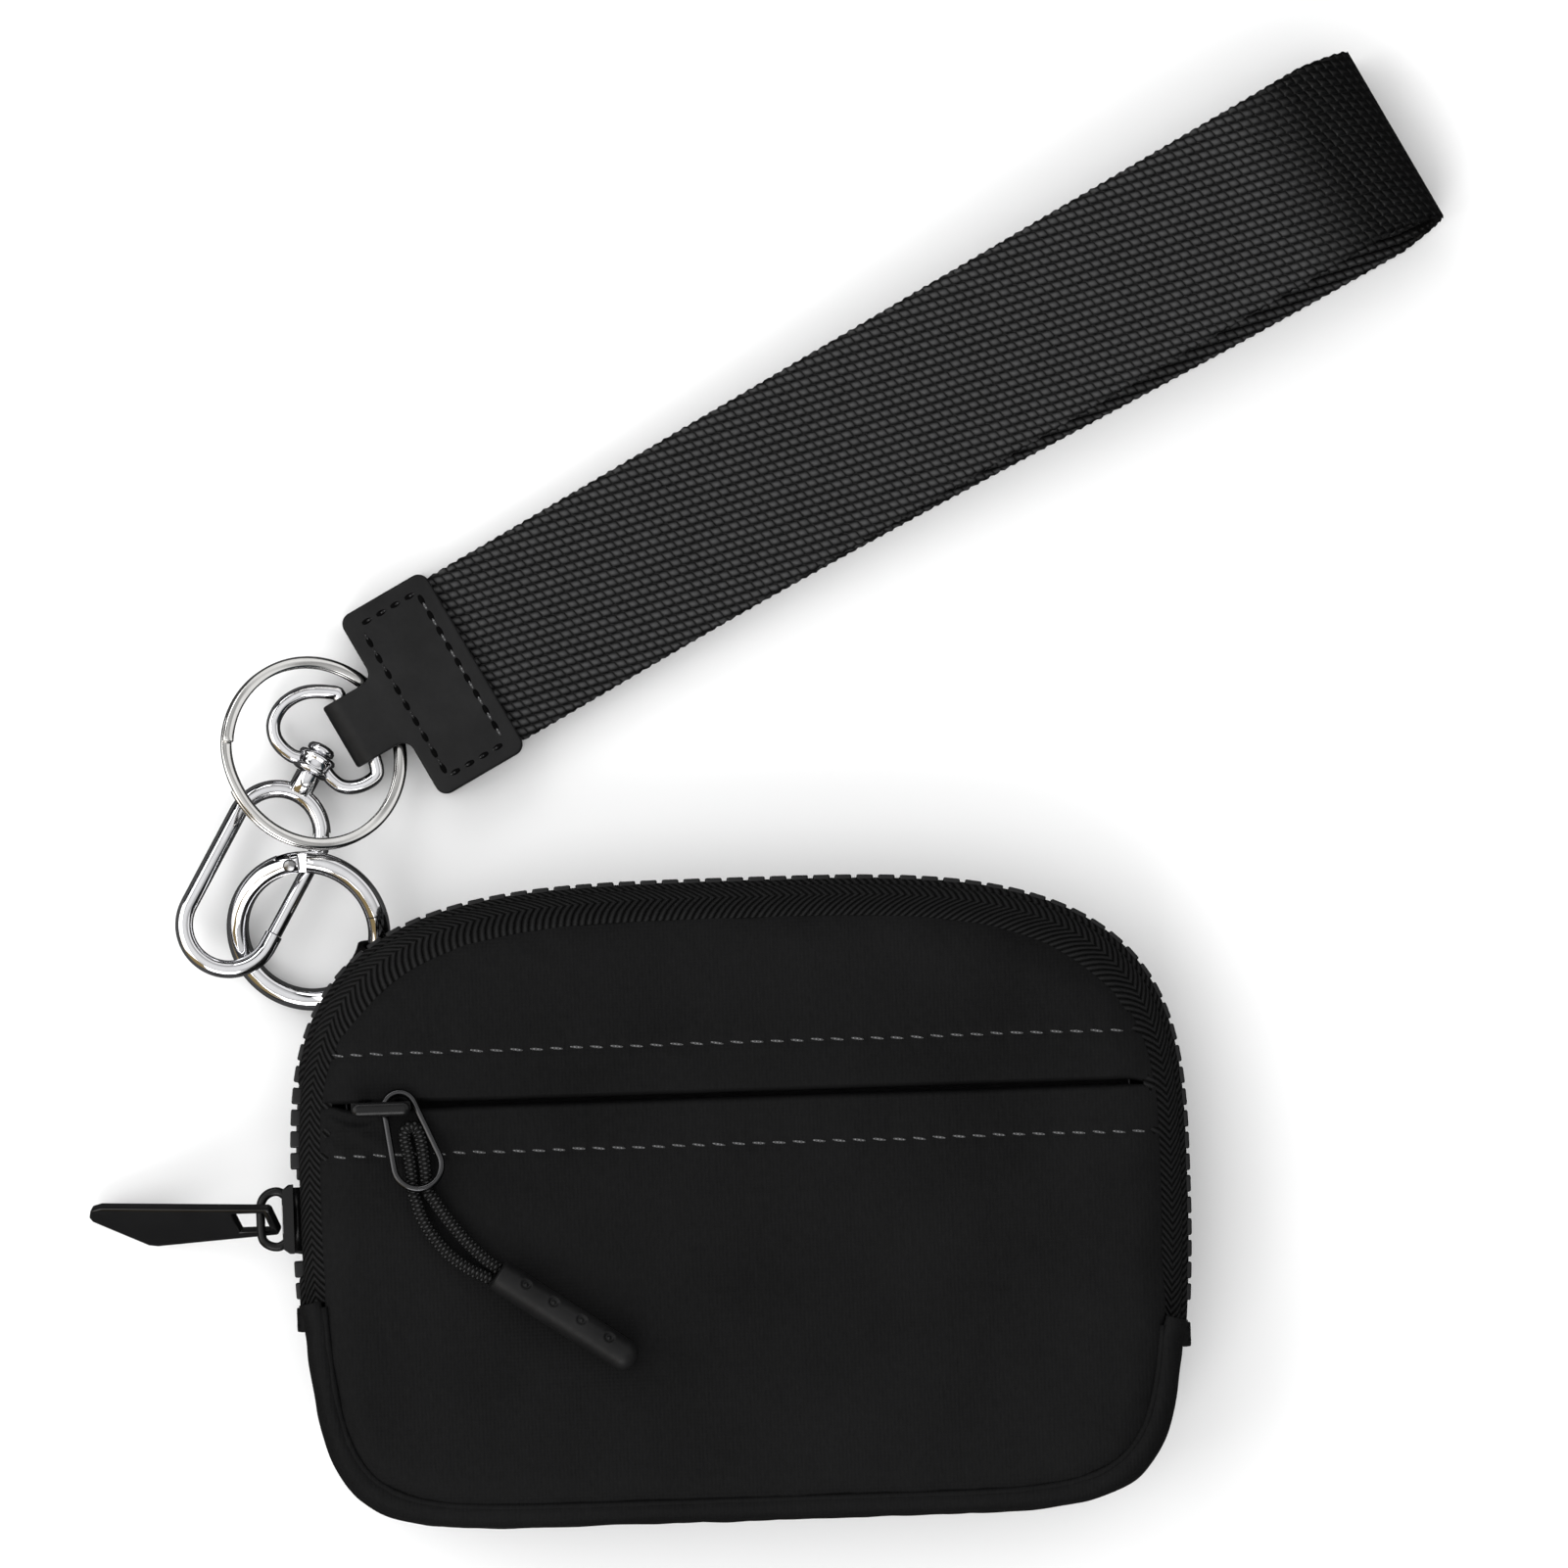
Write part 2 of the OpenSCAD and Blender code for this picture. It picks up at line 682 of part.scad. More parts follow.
module split_ring() {
    r = key_ring_od / 2;
    color("#c8c8cc")
        in_strap_frame()
            translate([key_u, 0, key_z])
                rotate([0, key_tilt, 0])
                    translate([-r + key_w / 2, 0, 0])
                        rotate_extrude($fn = 96)
                            difference() {
                                translate([r - key_w, -key_t / 2]) square([key_w, key_t]);
                                translate([r - 0.3, -0.08]) square([1, 0.16]);
                            }
}

rear_panel();
rear_lining();
rear_zip_tape();
rear_teeth();
gusset();
front_base_panel();
zip_end_tabs();
loop_tab();
front_yoke();
pocket_panel();
front_lining();
front_zip_tape();
front_teeth();
pocket_zip_tape();
pocket_coil();
pocket_bag();
main_slider();
main_pull();
pocket_slider();
pull_wire_loop();
cord_bight();
pull_cord();
cord_end();
gate_ring();
ring_gate();
ring_gate_pin();
hook_body();
hook_rivet();
hook_gate();
hook_gate_pin();
swivel_eye();
leather_tab();
webbing_loop();
split_ring();
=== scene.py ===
"""Looks of the zippered pouch with its wrist strap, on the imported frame."""
import bpy, bmesh
from math import acos, atan2, copysign, cos, degrees, exp, hypot, pi, radians, sin, sqrt
from mathutils import Vector, Matrix, noise


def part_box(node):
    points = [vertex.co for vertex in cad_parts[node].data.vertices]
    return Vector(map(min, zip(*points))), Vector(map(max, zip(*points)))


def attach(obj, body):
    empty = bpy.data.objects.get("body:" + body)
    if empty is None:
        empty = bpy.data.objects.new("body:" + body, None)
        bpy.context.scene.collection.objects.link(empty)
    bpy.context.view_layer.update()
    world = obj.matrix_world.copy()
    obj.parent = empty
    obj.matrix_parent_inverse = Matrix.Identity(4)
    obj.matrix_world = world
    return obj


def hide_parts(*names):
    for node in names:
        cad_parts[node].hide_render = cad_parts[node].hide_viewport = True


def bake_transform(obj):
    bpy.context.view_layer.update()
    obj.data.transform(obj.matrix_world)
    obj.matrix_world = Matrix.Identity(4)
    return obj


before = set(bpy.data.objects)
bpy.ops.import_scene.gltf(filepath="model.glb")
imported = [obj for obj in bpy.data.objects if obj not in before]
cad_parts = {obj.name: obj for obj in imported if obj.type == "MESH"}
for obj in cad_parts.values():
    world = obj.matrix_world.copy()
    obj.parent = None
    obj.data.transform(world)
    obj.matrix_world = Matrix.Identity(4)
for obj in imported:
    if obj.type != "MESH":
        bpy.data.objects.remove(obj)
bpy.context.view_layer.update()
MM = 0.001
scene = bpy.context.scene

# ---- shape constants, millimetres
HALF_W, HALF_H = 60.4, 43.6
TOP_Z, MID_Z = 25.2, 12.5
SLIT_Y, FOLD_Y = 14.5, -25.0
LEFT_T, RIGHT_T = 191.6, -16.9  # where the zip ends, in degrees round the outline
TOOTH_INSET, TOOTH_STEP = 1.2, 2.9
HOOK_DIR, HOOK_DIP, HOOK_R, PIVOT = 60.2, 5.14, 6.0, Vector((-55.53, 60.7, 2.75))
STRAP_DIR, STRAP_O, STRAP_Z = 28.4, Vector((-39.25, 70.9, 0)), 2.75
STRAP_W, STRAP_T = 25.4, 1.3
RING_C, RING_TILT, RING_DIR, RING_R = Vector((-57, 38.3, 4.75)), 20, 56.7, 9.7
KEY_R, KEY_TILT = 12.5, 25
CORD_D = 1.7
CAM_HIGH, VIEW_W = 6000, 210.66


def turn(axis, deg):
    return Matrix.Rotation(radians(deg), 4, axis)


shift_by = Matrix.Translation


RING_M = shift_by(RING_C) @ turn("Z", RING_DIR) @ turn("Y", -RING_TILT) @ turn("Z", -RING_DIR)
HOOK_M = shift_by(PIVOT) @ turn("Z", HOOK_DIR) @ turn("Y", HOOK_DIP)
STRAP_M = shift_by(STRAP_O) @ turn("Z", STRAP_DIR)
KEY_M = STRAP_M @ shift_by((-7.1, 0, 2.5)) @ turn("Y", KEY_TILT) @ shift_by((-KEY_R, 0, 0))


def edge(t, inset):
    """The point of the pouch's outline at an angle, moved inwards by the inset."""
    a, b, t = HALF_W - inset, HALF_H - inset, radians(t)
    n = 8 if sin(t) < 0 else 3.55
    r = ((abs(cos(t)) / a) ** n + (abs(sin(t)) / b) ** n) ** (-1 / n)
    y = r * sin(t)
    return r * cos(t) * taper(y, b), y


def taper(y, b=HALF_H):
    """The pouch narrows a little towards its bottom."""
    return 1 - 0.07 * (y / b) ** 2 if y < 0 else 1.0


def side_x(y, inset):
    """Half the pouch's width at a height."""
    a, b = HALF_W - inset, HALF_H - inset
    n = 8 if y < 0 else 3.55
    return a * max(0.0, 1 - min(1.0, abs(y) / b) ** n) ** (1 / n) * taper(y, b)


def depth_in(x, y, inset):
    """Distance from a point to the outline, measured inwards."""
    a, b = HALF_W - inset, HALF_H - inset
    n = 8 if y < 0 else 3.55
    x, y = abs(x) / taper(y, b), abs(y)
    f = ((x / a) ** n + (y / b) ** n) ** (1 / n)
    if f < 1e-3:
        return b
    g = hypot((x / a) ** (n - 1) / a, (y / b) ** (n - 1) / b) * f ** (1 - n)
    return (1 - f) / max(g, 1e-4)


def ease(x):
    x = min(max(x, 0.0), 1.0)
    return x * x * (3 - 2 * x)


def fuzz(x, y, z=0.0, size=10.0):
    return noise.noise(Vector((x / size, y / size, z)))


def polar(r, deg):
    return Vector((r * cos(radians(deg)), r * sin(radians(deg)), 0))


# ---- mesh helpers
def link(name, data):
    ob = bpy.data.objects.new(name, data)
    scene.collection.objects.link(ob)
    return ob


def make(name, verts, faces, mat, uvs=None, smooth=True, matrix=None):
    me = bpy.data.meshes.new(name)
    if matrix is not None:
        verts = [matrix @ Vector(v) for v in verts]
    me.from_pydata([[c * MM for c in v] for v in verts], [], faces)
    me.materials.append(mat)
    if uvs is not None:
        layer = me.uv_layers.new(name="UVMap")
        for poly in me.polygons:
            for li in poly.loop_indices:
                layer.data[li].uv = uvs(poly.index, me.loops[li].vertex_index)
    me.update()
    if smooth:
        me.shade_smooth()
    return link(name, me)


def bake(ob):
    """Applies the modifiers, so the mesh is the shape that is seen."""
    deps = bpy.context.evaluated_depsgraph_get()
    me = bpy.data.meshes.new_from_object(ob.evaluated_get(deps))
    ob.modifiers.clear()
    ob.data = me
    return ob


def mod(ob, kind, **props):
    m = ob.modifiers.new(kind, kind)
    for k, v in props.items():
        setattr(m, k, v)
    return m


def bevel(ob, width, segments=2, angle=55):
    """Rounds the edges that turn by more than the angle."""
    mod(ob, "BEVEL", width=width * MM, segments=segments, limit_method="ANGLE",
        angle_limit=radians(angle))


def grid(name, rows, mat, uv=None, wrap=False, close=False, caps=False, matrix=None):
    """A surface through rows of points; wrap joins each row's ends, close joins first and last row.
    uv gives, per row and column, the texture point in millimetres."""
    n, m = len(rows), len(rows[0])
    verts = [p for row in rows for p in row]
    faces, marks = [], []
    for i in range(n if close else n - 1):
        for j in range(m if wrap else m - 1):
            a, b = i, (i + 1) % n
            c, d = j, (j + 1) % m
            faces.append((a * m + c, a * m + d, b * m + d, b * m + c))
            marks.append(((i, j), (i, j + 1), (i + 1, j + 1), (i + 1, j)))
    if caps:
        faces.append(tuple(range(m - 1, -1, -1)))
        faces.append(tuple((n - 1) * m + j for j in range(m)))
    table = {}
    if uv:
        for k, (f, mk) in enumerate(zip(faces, marks)):
            for v, ij in zip(f, mk):
                table[k, v] = uv(*ij)
        lookup = lambda k, v: table.get((k, v), (0.0, 0.0))
    else:
        lookup = None
    return make(name, verts, faces, mat, lookup, True, matrix)


def lengths(path, closed=False):
    s = [0.0]
    for a, b in zip(path, path[1:]):
        s.append(s[-1] + (Vector(b) - Vector(a)).length)
    if closed:
        s.append(s[-1] + (Vector(path[0]) - Vector(path[-1])).length)
    return s


def frames(path, closed, up):
    """Side and up directions along a path, turned as little as possible."""
    pts = [Vector(p) for p in path]
    n = len(pts)
    tans = []
    for i in range(n):
        a = pts[i - 1] if closed or i > 0 else pts[i]
        b = pts[(i + 1) % n] if closed or i < n - 1 else pts[i]
        tans.append((b - a).normalized())
    u = Vector(up)
    out = []
    for t in tans:
        u = (u - t * u.dot(t)).normalized()
        out.append((t.cross(u), u.copy(), t))
    return pts, out


def sweep(name, path, mat, section=None, d=1.0, sides=16, closed=False, up=(0, 0, 1), caps=True,
          size=None, matrix=None, per_turn=None):
    """Sweeps a section, or a round wire, along a path; size scales it per point."""
    if section is None:
        section = [(d / 2 * cos(2 * pi * k / sides), d / 2 * sin(2 * pi * k / sides))
                   for k in range(sides)]
    pts, fr = frames(path, closed, up)
    s = lengths(path, closed)
    rows = []
    for i, (p, (side, upv, _)) in enumerate(zip(pts, fr)):
        k = 1.0 if size is None else size(i / (len(pts) - 1))
        rows.append([p + side * a * k + upv * b * k for a, b in section])
    around = [0.0]
    for a, b in zip(section, section[1:] + section[:1]):
        around.append(around[-1] + hypot(b[0] - a[0], b[1] - a[1]))
    if per_turn:
        around = [k / len(section) * per_turn for k in range(len(section) + 1)]
    return grid(name, rows, mat, lambda i, j: (s[i] * MM, around[j] * MM), wrap=True, close=closed,
                caps=caps and not closed, matrix=matrix)


def arc(r, a0, a1, n, c=(0, 0), z=0.0):
    return [Vector((c[0] + r * cos(radians(a0 + (a1 - a0) * i / n)),
                    c[1] + r * sin(radians(a0 + (a1 - a0) * i / n)), z)) for i in range(n + 1)]


def smooth_path(pts, n):
    """Catmull-Rom through the points, resampled to even steps."""
    p = [Vector(q) for q in pts]
    p = [p[0] * 2 - p[1]] + p + [p[-1] * 2 - p[-2]]
    dense = []
    for i in range(1, len(p) - 2):
        for k in range(24):
            t = k / 24
            dense.append(0.5 * (2 * p[i] + (p[i + 1] - p[i - 1]) * t
                                + (2 * p[i - 1] - 5 * p[i] + 4 * p[i + 1] - p[i + 2]) * t * t
                                + (3 * p[i] - p[i - 1] - 3 * p[i + 1] + p[i + 2]) * t ** 3))
    dense.append(p[-2])
    s = lengths(dense)
    out, j = [], 0
    for i in range(n + 1):
        want = s[-1] * i / n
        while j < len(s) - 2 and s[j + 1] < want:
            j += 1
        f = (want - s[j]) / max(s[j + 1] - s[j], 1e-9)
        out.append(dense[j].lerp(dense[j + 1], min(max(f, 0), 1)))
    return out


def turned(name, axis_pts, radii, mat, sides=32, matrix=None):
    """A turned solid: radii at the points of a straight axis."""
    p0, p1 = Vector(axis_pts[0]), Vector(axis_pts[-1])
    t = (p1 - p0).normalized()
    u = Vector((0, 0, 1)) if abs(t.z) < 0.9 else Vector((1, 0, 0))
    a = t.cross(u).normalized()
    b = t.cross(a)
    rows = [[Vector(c) + (a * cos(2 * pi * k / sides) + b * sin(2 * pi * k / sides)) * r
             for k in range(sides)] for c, r in zip(axis_pts, radii)]
    return grid(name, rows, mat, wrap=True, caps=True, matrix=matrix)


def join(name, obs):
    """Joins finished pieces into one."""
    bm = bmesh.new()
    mats = []
    for o in obs:
        me = o.data
        for m in me.materials:
            if m not in mats:
                mats.append(m)
        base = len(bm.faces)
        bm.from_mesh(me)
        bm.faces.ensure_lookup_table()
        for f in bm.faces[base:]:
            f.material_index = mats.index(me.materials[f.material_index])
        bpy.data.objects.remove(o)
    me = bpy.data.meshes.new(name)
    bm.to_mesh(me)
    bm.free()
    for m in mats:
        me.materials.append(m)
    return link(name, me)


def from_cad(node, mat, width=0.2, segments=3, name=None, angle=30):
    """A rounded copy of a CAD solid."""
    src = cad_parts[node]
    me = src.data.copy()
    me.materials.clear()
    me.materials.append(mat)
    ob = link(name or node + "_round", me)
    bm = bmesh.new()
    bm.from_mesh(me)
    bmesh.ops.remove_doubles(bm, verts=bm.verts, dist=1e-6)
    bmesh.ops.dissolve_limit(bm, angle_limit=radians(1.0), verts=bm.verts, edges=bm.edges)
    for f in bm.faces:
        f.material_index = 0
        f.smooth = True
    bm.to_mesh(me)
    bm.free()
    if width:
        bevel(ob, width, segments, angle)
    bake(ob)
    if not width:
        ob.data.set_sharp_from_angle(angle=radians(36))
    return ob


def piece(ob, body, slot, *nodes):
    if nodes:
        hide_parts(*nodes)
    if body:
        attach(ob, body)
    return ob


# ---- materials
def set_inputs(node, **values):
    for key, v in values.items():
        node.inputs[key.replace("_", " ")].default_value = v


class Mat:
    """Builds a node material; the calls add nodes and return their outputs."""

    def __init__(self, name, color, rough=0.5, metal=0.0, spec=0.5, coat=0.0):
        self.m = bpy.data.materials.new(name)
        self.m.use_nodes = True
        self.t = self.m.node_tree
        self.b = self.t.nodes["Principled BSDF"]
        set_inputs(self.b, Base_Color=(*color, 1), Roughness=rough, Metallic=metal, Specular_IOR_Level=spec,
                   Coat_Weight=coat)
        self.normal = None

    def node(self, kind, *ins, out=0, **props):
        n = self.t.nodes.new("ShaderNode" + kind)
        for k, v in props.items():
            setattr(n, k, v)
        for key, v in enumerate(ins):
            self.put(n.inputs[key], v)
        return n.outputs[out]

    def put(self, socket, v):
        if v is None:
            return
        if isinstance(v, bpy.types.NodeSocket):
            self.t.links.new(v, socket)
        else:
            socket.default_value = v

    def math(self, op, a, b=None, c=None):
        return self.node("Math", a, b, c, operation=op)

    def add(self, a, b):
        return self.math("ADD", a, b)

    def times(self, a, b):
        return self.math("MULTIPLY", a, b)

    def fract(self, a):
        return self.math("FRACT", a)

    def hump(self, f):
        """Rises from 0 to 1 and falls again as f goes from 0 to 1."""
        return self.math("SINE", self.times(f, pi))

    def uv(self):
        n = self.t.nodes.new("ShaderNodeUVMap")
        n.uv_map = "UVMap"
        parts = self.node("SeparateXYZ", n.outputs[0]).node
        return parts.outputs[0], parts.outputs[1]

    def place(self, scale=(1, 1, 1), turn_z=0.0):
        tc = self.t.nodes.new("ShaderNodeTexCoord")
        mp = self.t.nodes.new("ShaderNodeMapping")
        set_inputs(mp, Scale=scale, Rotation=(0, 0, radians(turn_z)))
        self.t.links.new(tc.outputs["Object"], mp.inputs["Vector"])
        return mp.outputs[0]

    def noise(self, scale, detail=3.0, rough=0.5, vec=None, kind="FBM", out=0):
        n = self.t.nodes.new("ShaderNodeTexNoise")
        n.noise_type = kind
        set_inputs(n, Scale=scale, Detail=detail, Roughness=rough)
        self.put(n.inputs["Vector"], vec or self.place())
        return n.outputs[out]

    def cells(self, scale, vec=None, feature="F1", out="Distance"):
        n = self.t.nodes.new("ShaderNodeTexVoronoi")
        n.feature = feature
        set_inputs(n, Scale=scale)
        self.put(n.inputs["Vector"], vec or self.place())
        return n.outputs[out]

    def ramp(self, fac, a, b, lo=0.0, hi=1.0):
        n = self.t.nodes.new("ShaderNodeMapRange")
        set_inputs(n, From_Min=lo, From_Max=hi, To_Min=a, To_Max=b)
        self.t.links.new(fac, n.inputs["Value"])
        return n.outputs[0]

    def blend(self, fac, a, b):
        n = self.t.nodes.new("ShaderNodeMix")
        n.data_type = "RGBA"
        self.put(n.inputs[0], fac)
        self.put(n.inputs[6], (*a, 1) if isinstance(a, tuple) else a)
        self.put(n.inputs[7], (*b, 1) if isinstance(b, tuple) else b)
        return n.outputs[2]

    def bump(self, height, distance, strength=1.0):
        n = self.t.nodes.new("ShaderNodeBump")
        set_inputs(n, Strength=strength, Distance=distance * MM)
        self.t.links.new(height, n.inputs["Height"])
        if self.normal:
            self.t.links.new(self.normal, n.inputs["Normal"])
        self.normal = n.outputs[0]
        self.t.links.new(self.normal, self.b.inputs["Normal"])

    def color(self, out):
        self.t.links.new(out, self.b.inputs["Base Color"])

    def shade(self, fac, lo, hi, dark, light):
        """Base colour from dark to light as fac goes from lo to hi."""
        self.color(self.blend(self.ramp(fac, 0, 1, lo, hi), dark, light))

    def rough(self, out):
        self.t.links.new(out, self.b.inputs["Roughness"])


def cloth_mat(name, dark, light, rough=0.7, spec=0.06, crinkle=1.0):
    k = Mat(name, dark, rough, spec=spec)
    patch = k.noise(38, 4, 0.55)
    grain = k.noise(2600, 1, 0.5, k.place((1, 0.35, 1)))
    k.shade(k.add(k.times(patch, 0.7), k.times(grain, 0.3)), 0.3, 0.7, dark, light)
    k.bump(k.noise(60, 5, 0.55, k.place((1, 1.6, 1), 12), "RIDGED_MULTIFRACTAL"), 0.5 * crinkle, 0.5)
    k.bump(k.noise(260, 4, 0.6, k.place((1.6, 0.7, 1), -6)), 0.3 * crinkle, 0.55)
    threads = k.add(k.node("TexWave", k.place((1, 0, 0)), 620.0, out=1),
                     k.node("TexWave", k.place((0, 1, 0)), 620.0, out=1, bands_direction="Y"))
    k.bump(threads, 0.05, 0.35)
    k.rough(k.ramp(patch, rough - 0.08, rough + 0.06, 0.3, 0.7))
    return k.m


def weave_mat(name, dark, light, pu, pv, lean, height, rough=0.6, spec=0.3, step=0.5, tilt=0.0, fleck=0.0,
              round_u=0.55, round_v=0.75, fold_shade=None):
    """Rows of short slanted ribs, pu by pv millimetres; UV is in metres, u along the band, and the rows run
    at a tilt to it. The last argument gives painted shade round a place on the band: its distance along it
    and its reach."""
    k = Mat(name, dark, rough, spec=spec)
    u, v = k.uv()
    ct, st = cos(radians(tilt)), sin(radians(tilt))
    ur = k.add(k.times(u, ct), k.times(v, st))
    vr = k.math("SUBTRACT", k.times(v, ct), k.times(u, st))
    su = k.math("DIVIDE", ur, pu * MM)
    sv = k.math("DIVIDE", vr, pv * MM)
    col = k.math("FLOOR", sv)
    fv = k.fract(sv)
    fu = k.fract(k.add(k.add(su, k.times(col, step)), k.times(fv, lean)))
    h = k.times(k.math("POWER", k.hump(fu), round_u), k.math("POWER", k.hump(fv), round_v))
    yarn = k.noise(5200, 2, 0.6, k.place((1, 1, 1)))
    tone = k.noise(420, 3, 0.6)
    # Random yarn tone, plus painted shade in the hollows between the ribs and painted light on their tops.
    k.shade(k.add(k.times(h, 0.85), k.times(k.add(yarn, tone), 0.25)), 0.42, 1.2, dark, light)
    if fold_shade:
        # Painted shade: the colour darkens towards the band's far bend, where it turns away from the light.
        away = k.math("ABSOLUTE", k.math("SUBTRACT", u, fold_shade[0] * MM))
        shade = k.ramp(k.math("DIVIDE", away, fold_shade[1] * MM), 0, 1, 0.45, 1.0)
        k.color(k.blend(shade, dark, k.b.inputs["Base Color"].links[0].from_socket))
    k.bump(yarn, 0.04, 0.5)
    k.bump(h, height, 1.0)
    if fleck:
        k.rough(k.ramp(k.noise(1500, 2, 0.7), rough - fleck, rough + 0.1, 0.35, 0.65))
    return k.m


def chevron_mat(name, dark, light, pu, pv, height, rough=0.7):
    """Herringbone tape: ribs that slant one way and the other in turn."""
    k = Mat(name, dark, rough, spec=0.12)
    u, v = k.uv()
    zig = k.math("PINGPONG", k.math("DIVIDE", v, pv * MM), 1.0)
    f = k.fract(k.add(k.math("DIVIDE", u, pu * MM), k.times(zig, 2.7)))
    h = k.math("POWER", k.hump(f), 0.7)
    yarn = k.noise(4200, 2, 0.6)
    # Random yarn tone, plus painted shade in the grooves between the ribs and painted light on their tops.
    k.shade(k.add(h, k.times(yarn, 0.5)), 0.7, 1.45, dark, light)
    k.bump(yarn, 0.05, 0.5)
    k.bump(h, height, 0.9)
    return k.m


def braid_mat(name, dark, light, pitch, turns, height, per_turn):
    k = Mat(name, dark, 0.6, spec=0.15)
    u, v = k.uv()
    a = k.math("DIVIDE", u, pitch * MM)
    b = k.times(k.math("DIVIDE", v, per_turn * MM), turns)
    one = k.fract(k.add(a, b))
    two = k.fract(k.math("SUBTRACT", a, b))
    h1 = k.hump(one)
    h2 = k.hump(two)
    h = k.times(h1, h2)
    yarn = k.noise(5000, 2, 0.6)
    # Random yarn tone, plus painted shade between the strands and painted light on their highest crossings.
    k.shade(k.add(h, k.times(yarn, 0.7)), 0.85, 1.6, dark, light)
    k.bump(yarn, 0.04, 0.5)
    k.bump(h, height, 1.0)
    return k.m


def leather_mat(name, dark, light):
    k = Mat(name, dark, 0.42, spec=0.15, coat=0.02)
    set_inputs(k.b, Coat_Roughness=0.35)
    patch = k.noise(90, 4, 0.6)
    k.shade(patch, 0.3, 0.7, dark, light)
    k.bump(k.cells(1500), 0.05, 0.45)
    k.bump(k.noise(420, 3, 0.6), 0.08, 0.4)
    k.rough(k.ramp(k.noise(240, 3, 0.6), 0.38, 0.56, 0.3, 0.7))
    return k.m


def metal_mat(name, color, rough, wear=0.05, wave=0.02):
    k = Mat(name, color, rough, metal=1.0)
    k.rough(k.ramp(k.noise(700, 4, 0.65), max(rough - wear, 0.02), rough + wear, 0.3, 0.7))
    k.bump(k.noise(240, 3, 0.5), wave, 0.35)
    k.color(k.blend(k.ramp(k.noise(150, 3, 0.6), 0, 1, 0.35, 0.7), color, tuple(c * 0.86 for c in color)))
    return k.m


def plastic_mat(name, dark, light, rough, grain=0.02, spec=0.4, scale=1500):
    k = Mat(name, dark, rough, spec=spec)
    n = k.noise(scale, 3, 0.6)
    k.shade(k.noise(180, 3, 0.6), 0.3, 0.7, dark, light)
    k.rough(k.ramp(n, rough - 0.07, rough + 0.07, 0.3, 0.7))
    k.bump(n, grain, 0.5)
    return k.m


M_SHELL = cloth_mat("crinkled_nylon", (0.0036, 0.0036, 0.0037), (0.0074, 0.0074, 0.0076))
M_LINING = weave_mat("lining_weave", (0.012, 0.012, 0.013), (0.03, 0.03, 0.033), 0.5, 0.5, 0.0, 0.05,
                     rough=0.62, spec=0.15)
M_TAPE = chevron_mat("herringbone_tape", (0.0006, 0.0006, 0.0006), (0.0145, 0.0145, 0.0148), 1.05, 4.1, 0.55)
M_TEETH = plastic_mat("tooth_plastic", (0.006, 0.006, 0.0063), (0.011, 0.011, 0.0115), 0.4, 0.02, 0.25)
M_ENAMEL = plastic_mat("black_enamel", (0.0035, 0.0035, 0.0036), (0.006, 0.006, 0.0062), 0.27, 0.006, 0.25,
                       scale=600)
M_GLOSS = plastic_mat("gloss_enamel", (0.004, 0.004, 0.0042), (0.006, 0.006, 0.0062), 0.12, 0.003, 0.5, 400)
M_GUN = metal_mat("gunmetal", (0.07, 0.07, 0.072), 0.22, 0.06, 0.01)
M_CORD = braid_mat("braided_cord", (0.001, 0.001, 0.001), (0.062, 0.062, 0.063), 0.62, 4, 0.14, 6.0)
M_RUBBER = plastic_mat("soft_rubber", (0.005, 0.005, 0.0052), (0.009, 0.009, 0.0092), 0.45, 0.02, 0.16)
M_CHROME = metal_mat("chrome", (0.83, 0.83, 0.85), 0.07, 0.03, 0.015)
M_RING = metal_mat("split_ring_plating", (0.8, 0.79, 0.77), 0.1, 0.04, 0.02)
M_PIN = metal_mat("rivet_metal", (0.28, 0.28, 0.285), 0.2, 0.05, 0.01)
M_LEATHER = leather_mat("black_leather", (0.0058, 0.0058, 0.006), (0.0125, 0.0125, 0.0128))
M_EDGE = plastic_mat("edge_paint", (0.004, 0.004, 0.0042), (0.007, 0.007, 0.0072), 0.34, 0.02, 0.25, 500)
M_THREAD = braid_mat("grey_thread", (0.06, 0.06, 0.061), (0.26, 0.26, 0.265), 0.5, 2, 0.05, 1.0)
M_THREAD_D = braid_mat("dark_thread", (0.012, 0.012, 0.012), (0.075, 0.075, 0.077), 0.5, 2, 0.05, 1.0)
# Near-black material for painted shade in the leather's stitch holes.
M_HOLE_SHADE = plastic_mat("stitch_hollow_shade", (0.0008, 0.0008, 0.0008), (0.0014, 0.0014, 0.0014), 0.8, 0.02, 0.05)
# The webbing gets painted shade round its far bend, and painted shade and light between and on its ribs.
M_WEB = weave_mat("ribbed_webbing", (0.0014, 0.0014, 0.0015), (0.05, 0.05, 0.051), 1.3, 1.2, -0.35, 0.42,
                  rough=0.5, spec=0.2, tilt=13.0, fleck=0.15, round_u=0.4, round_v=1.0, fold_shade=(159.0, 19.0))

# ---- camera
cam_data = bpy.data.cameras.new("camera")
cam = link("camera", cam_data)
scene.camera = cam
cam_data.sensor_width = 36
cam_data.lens = cam_data.sensor_width * CAM_HIGH / VIEW_W
cam_data.clip_end = 20
cam.location = (7.58 * MM, 55.9 * MM, (CAM_HIGH + MID_Z) * MM)
cam.rotation_euler = (0, 0, radians(-1.9))

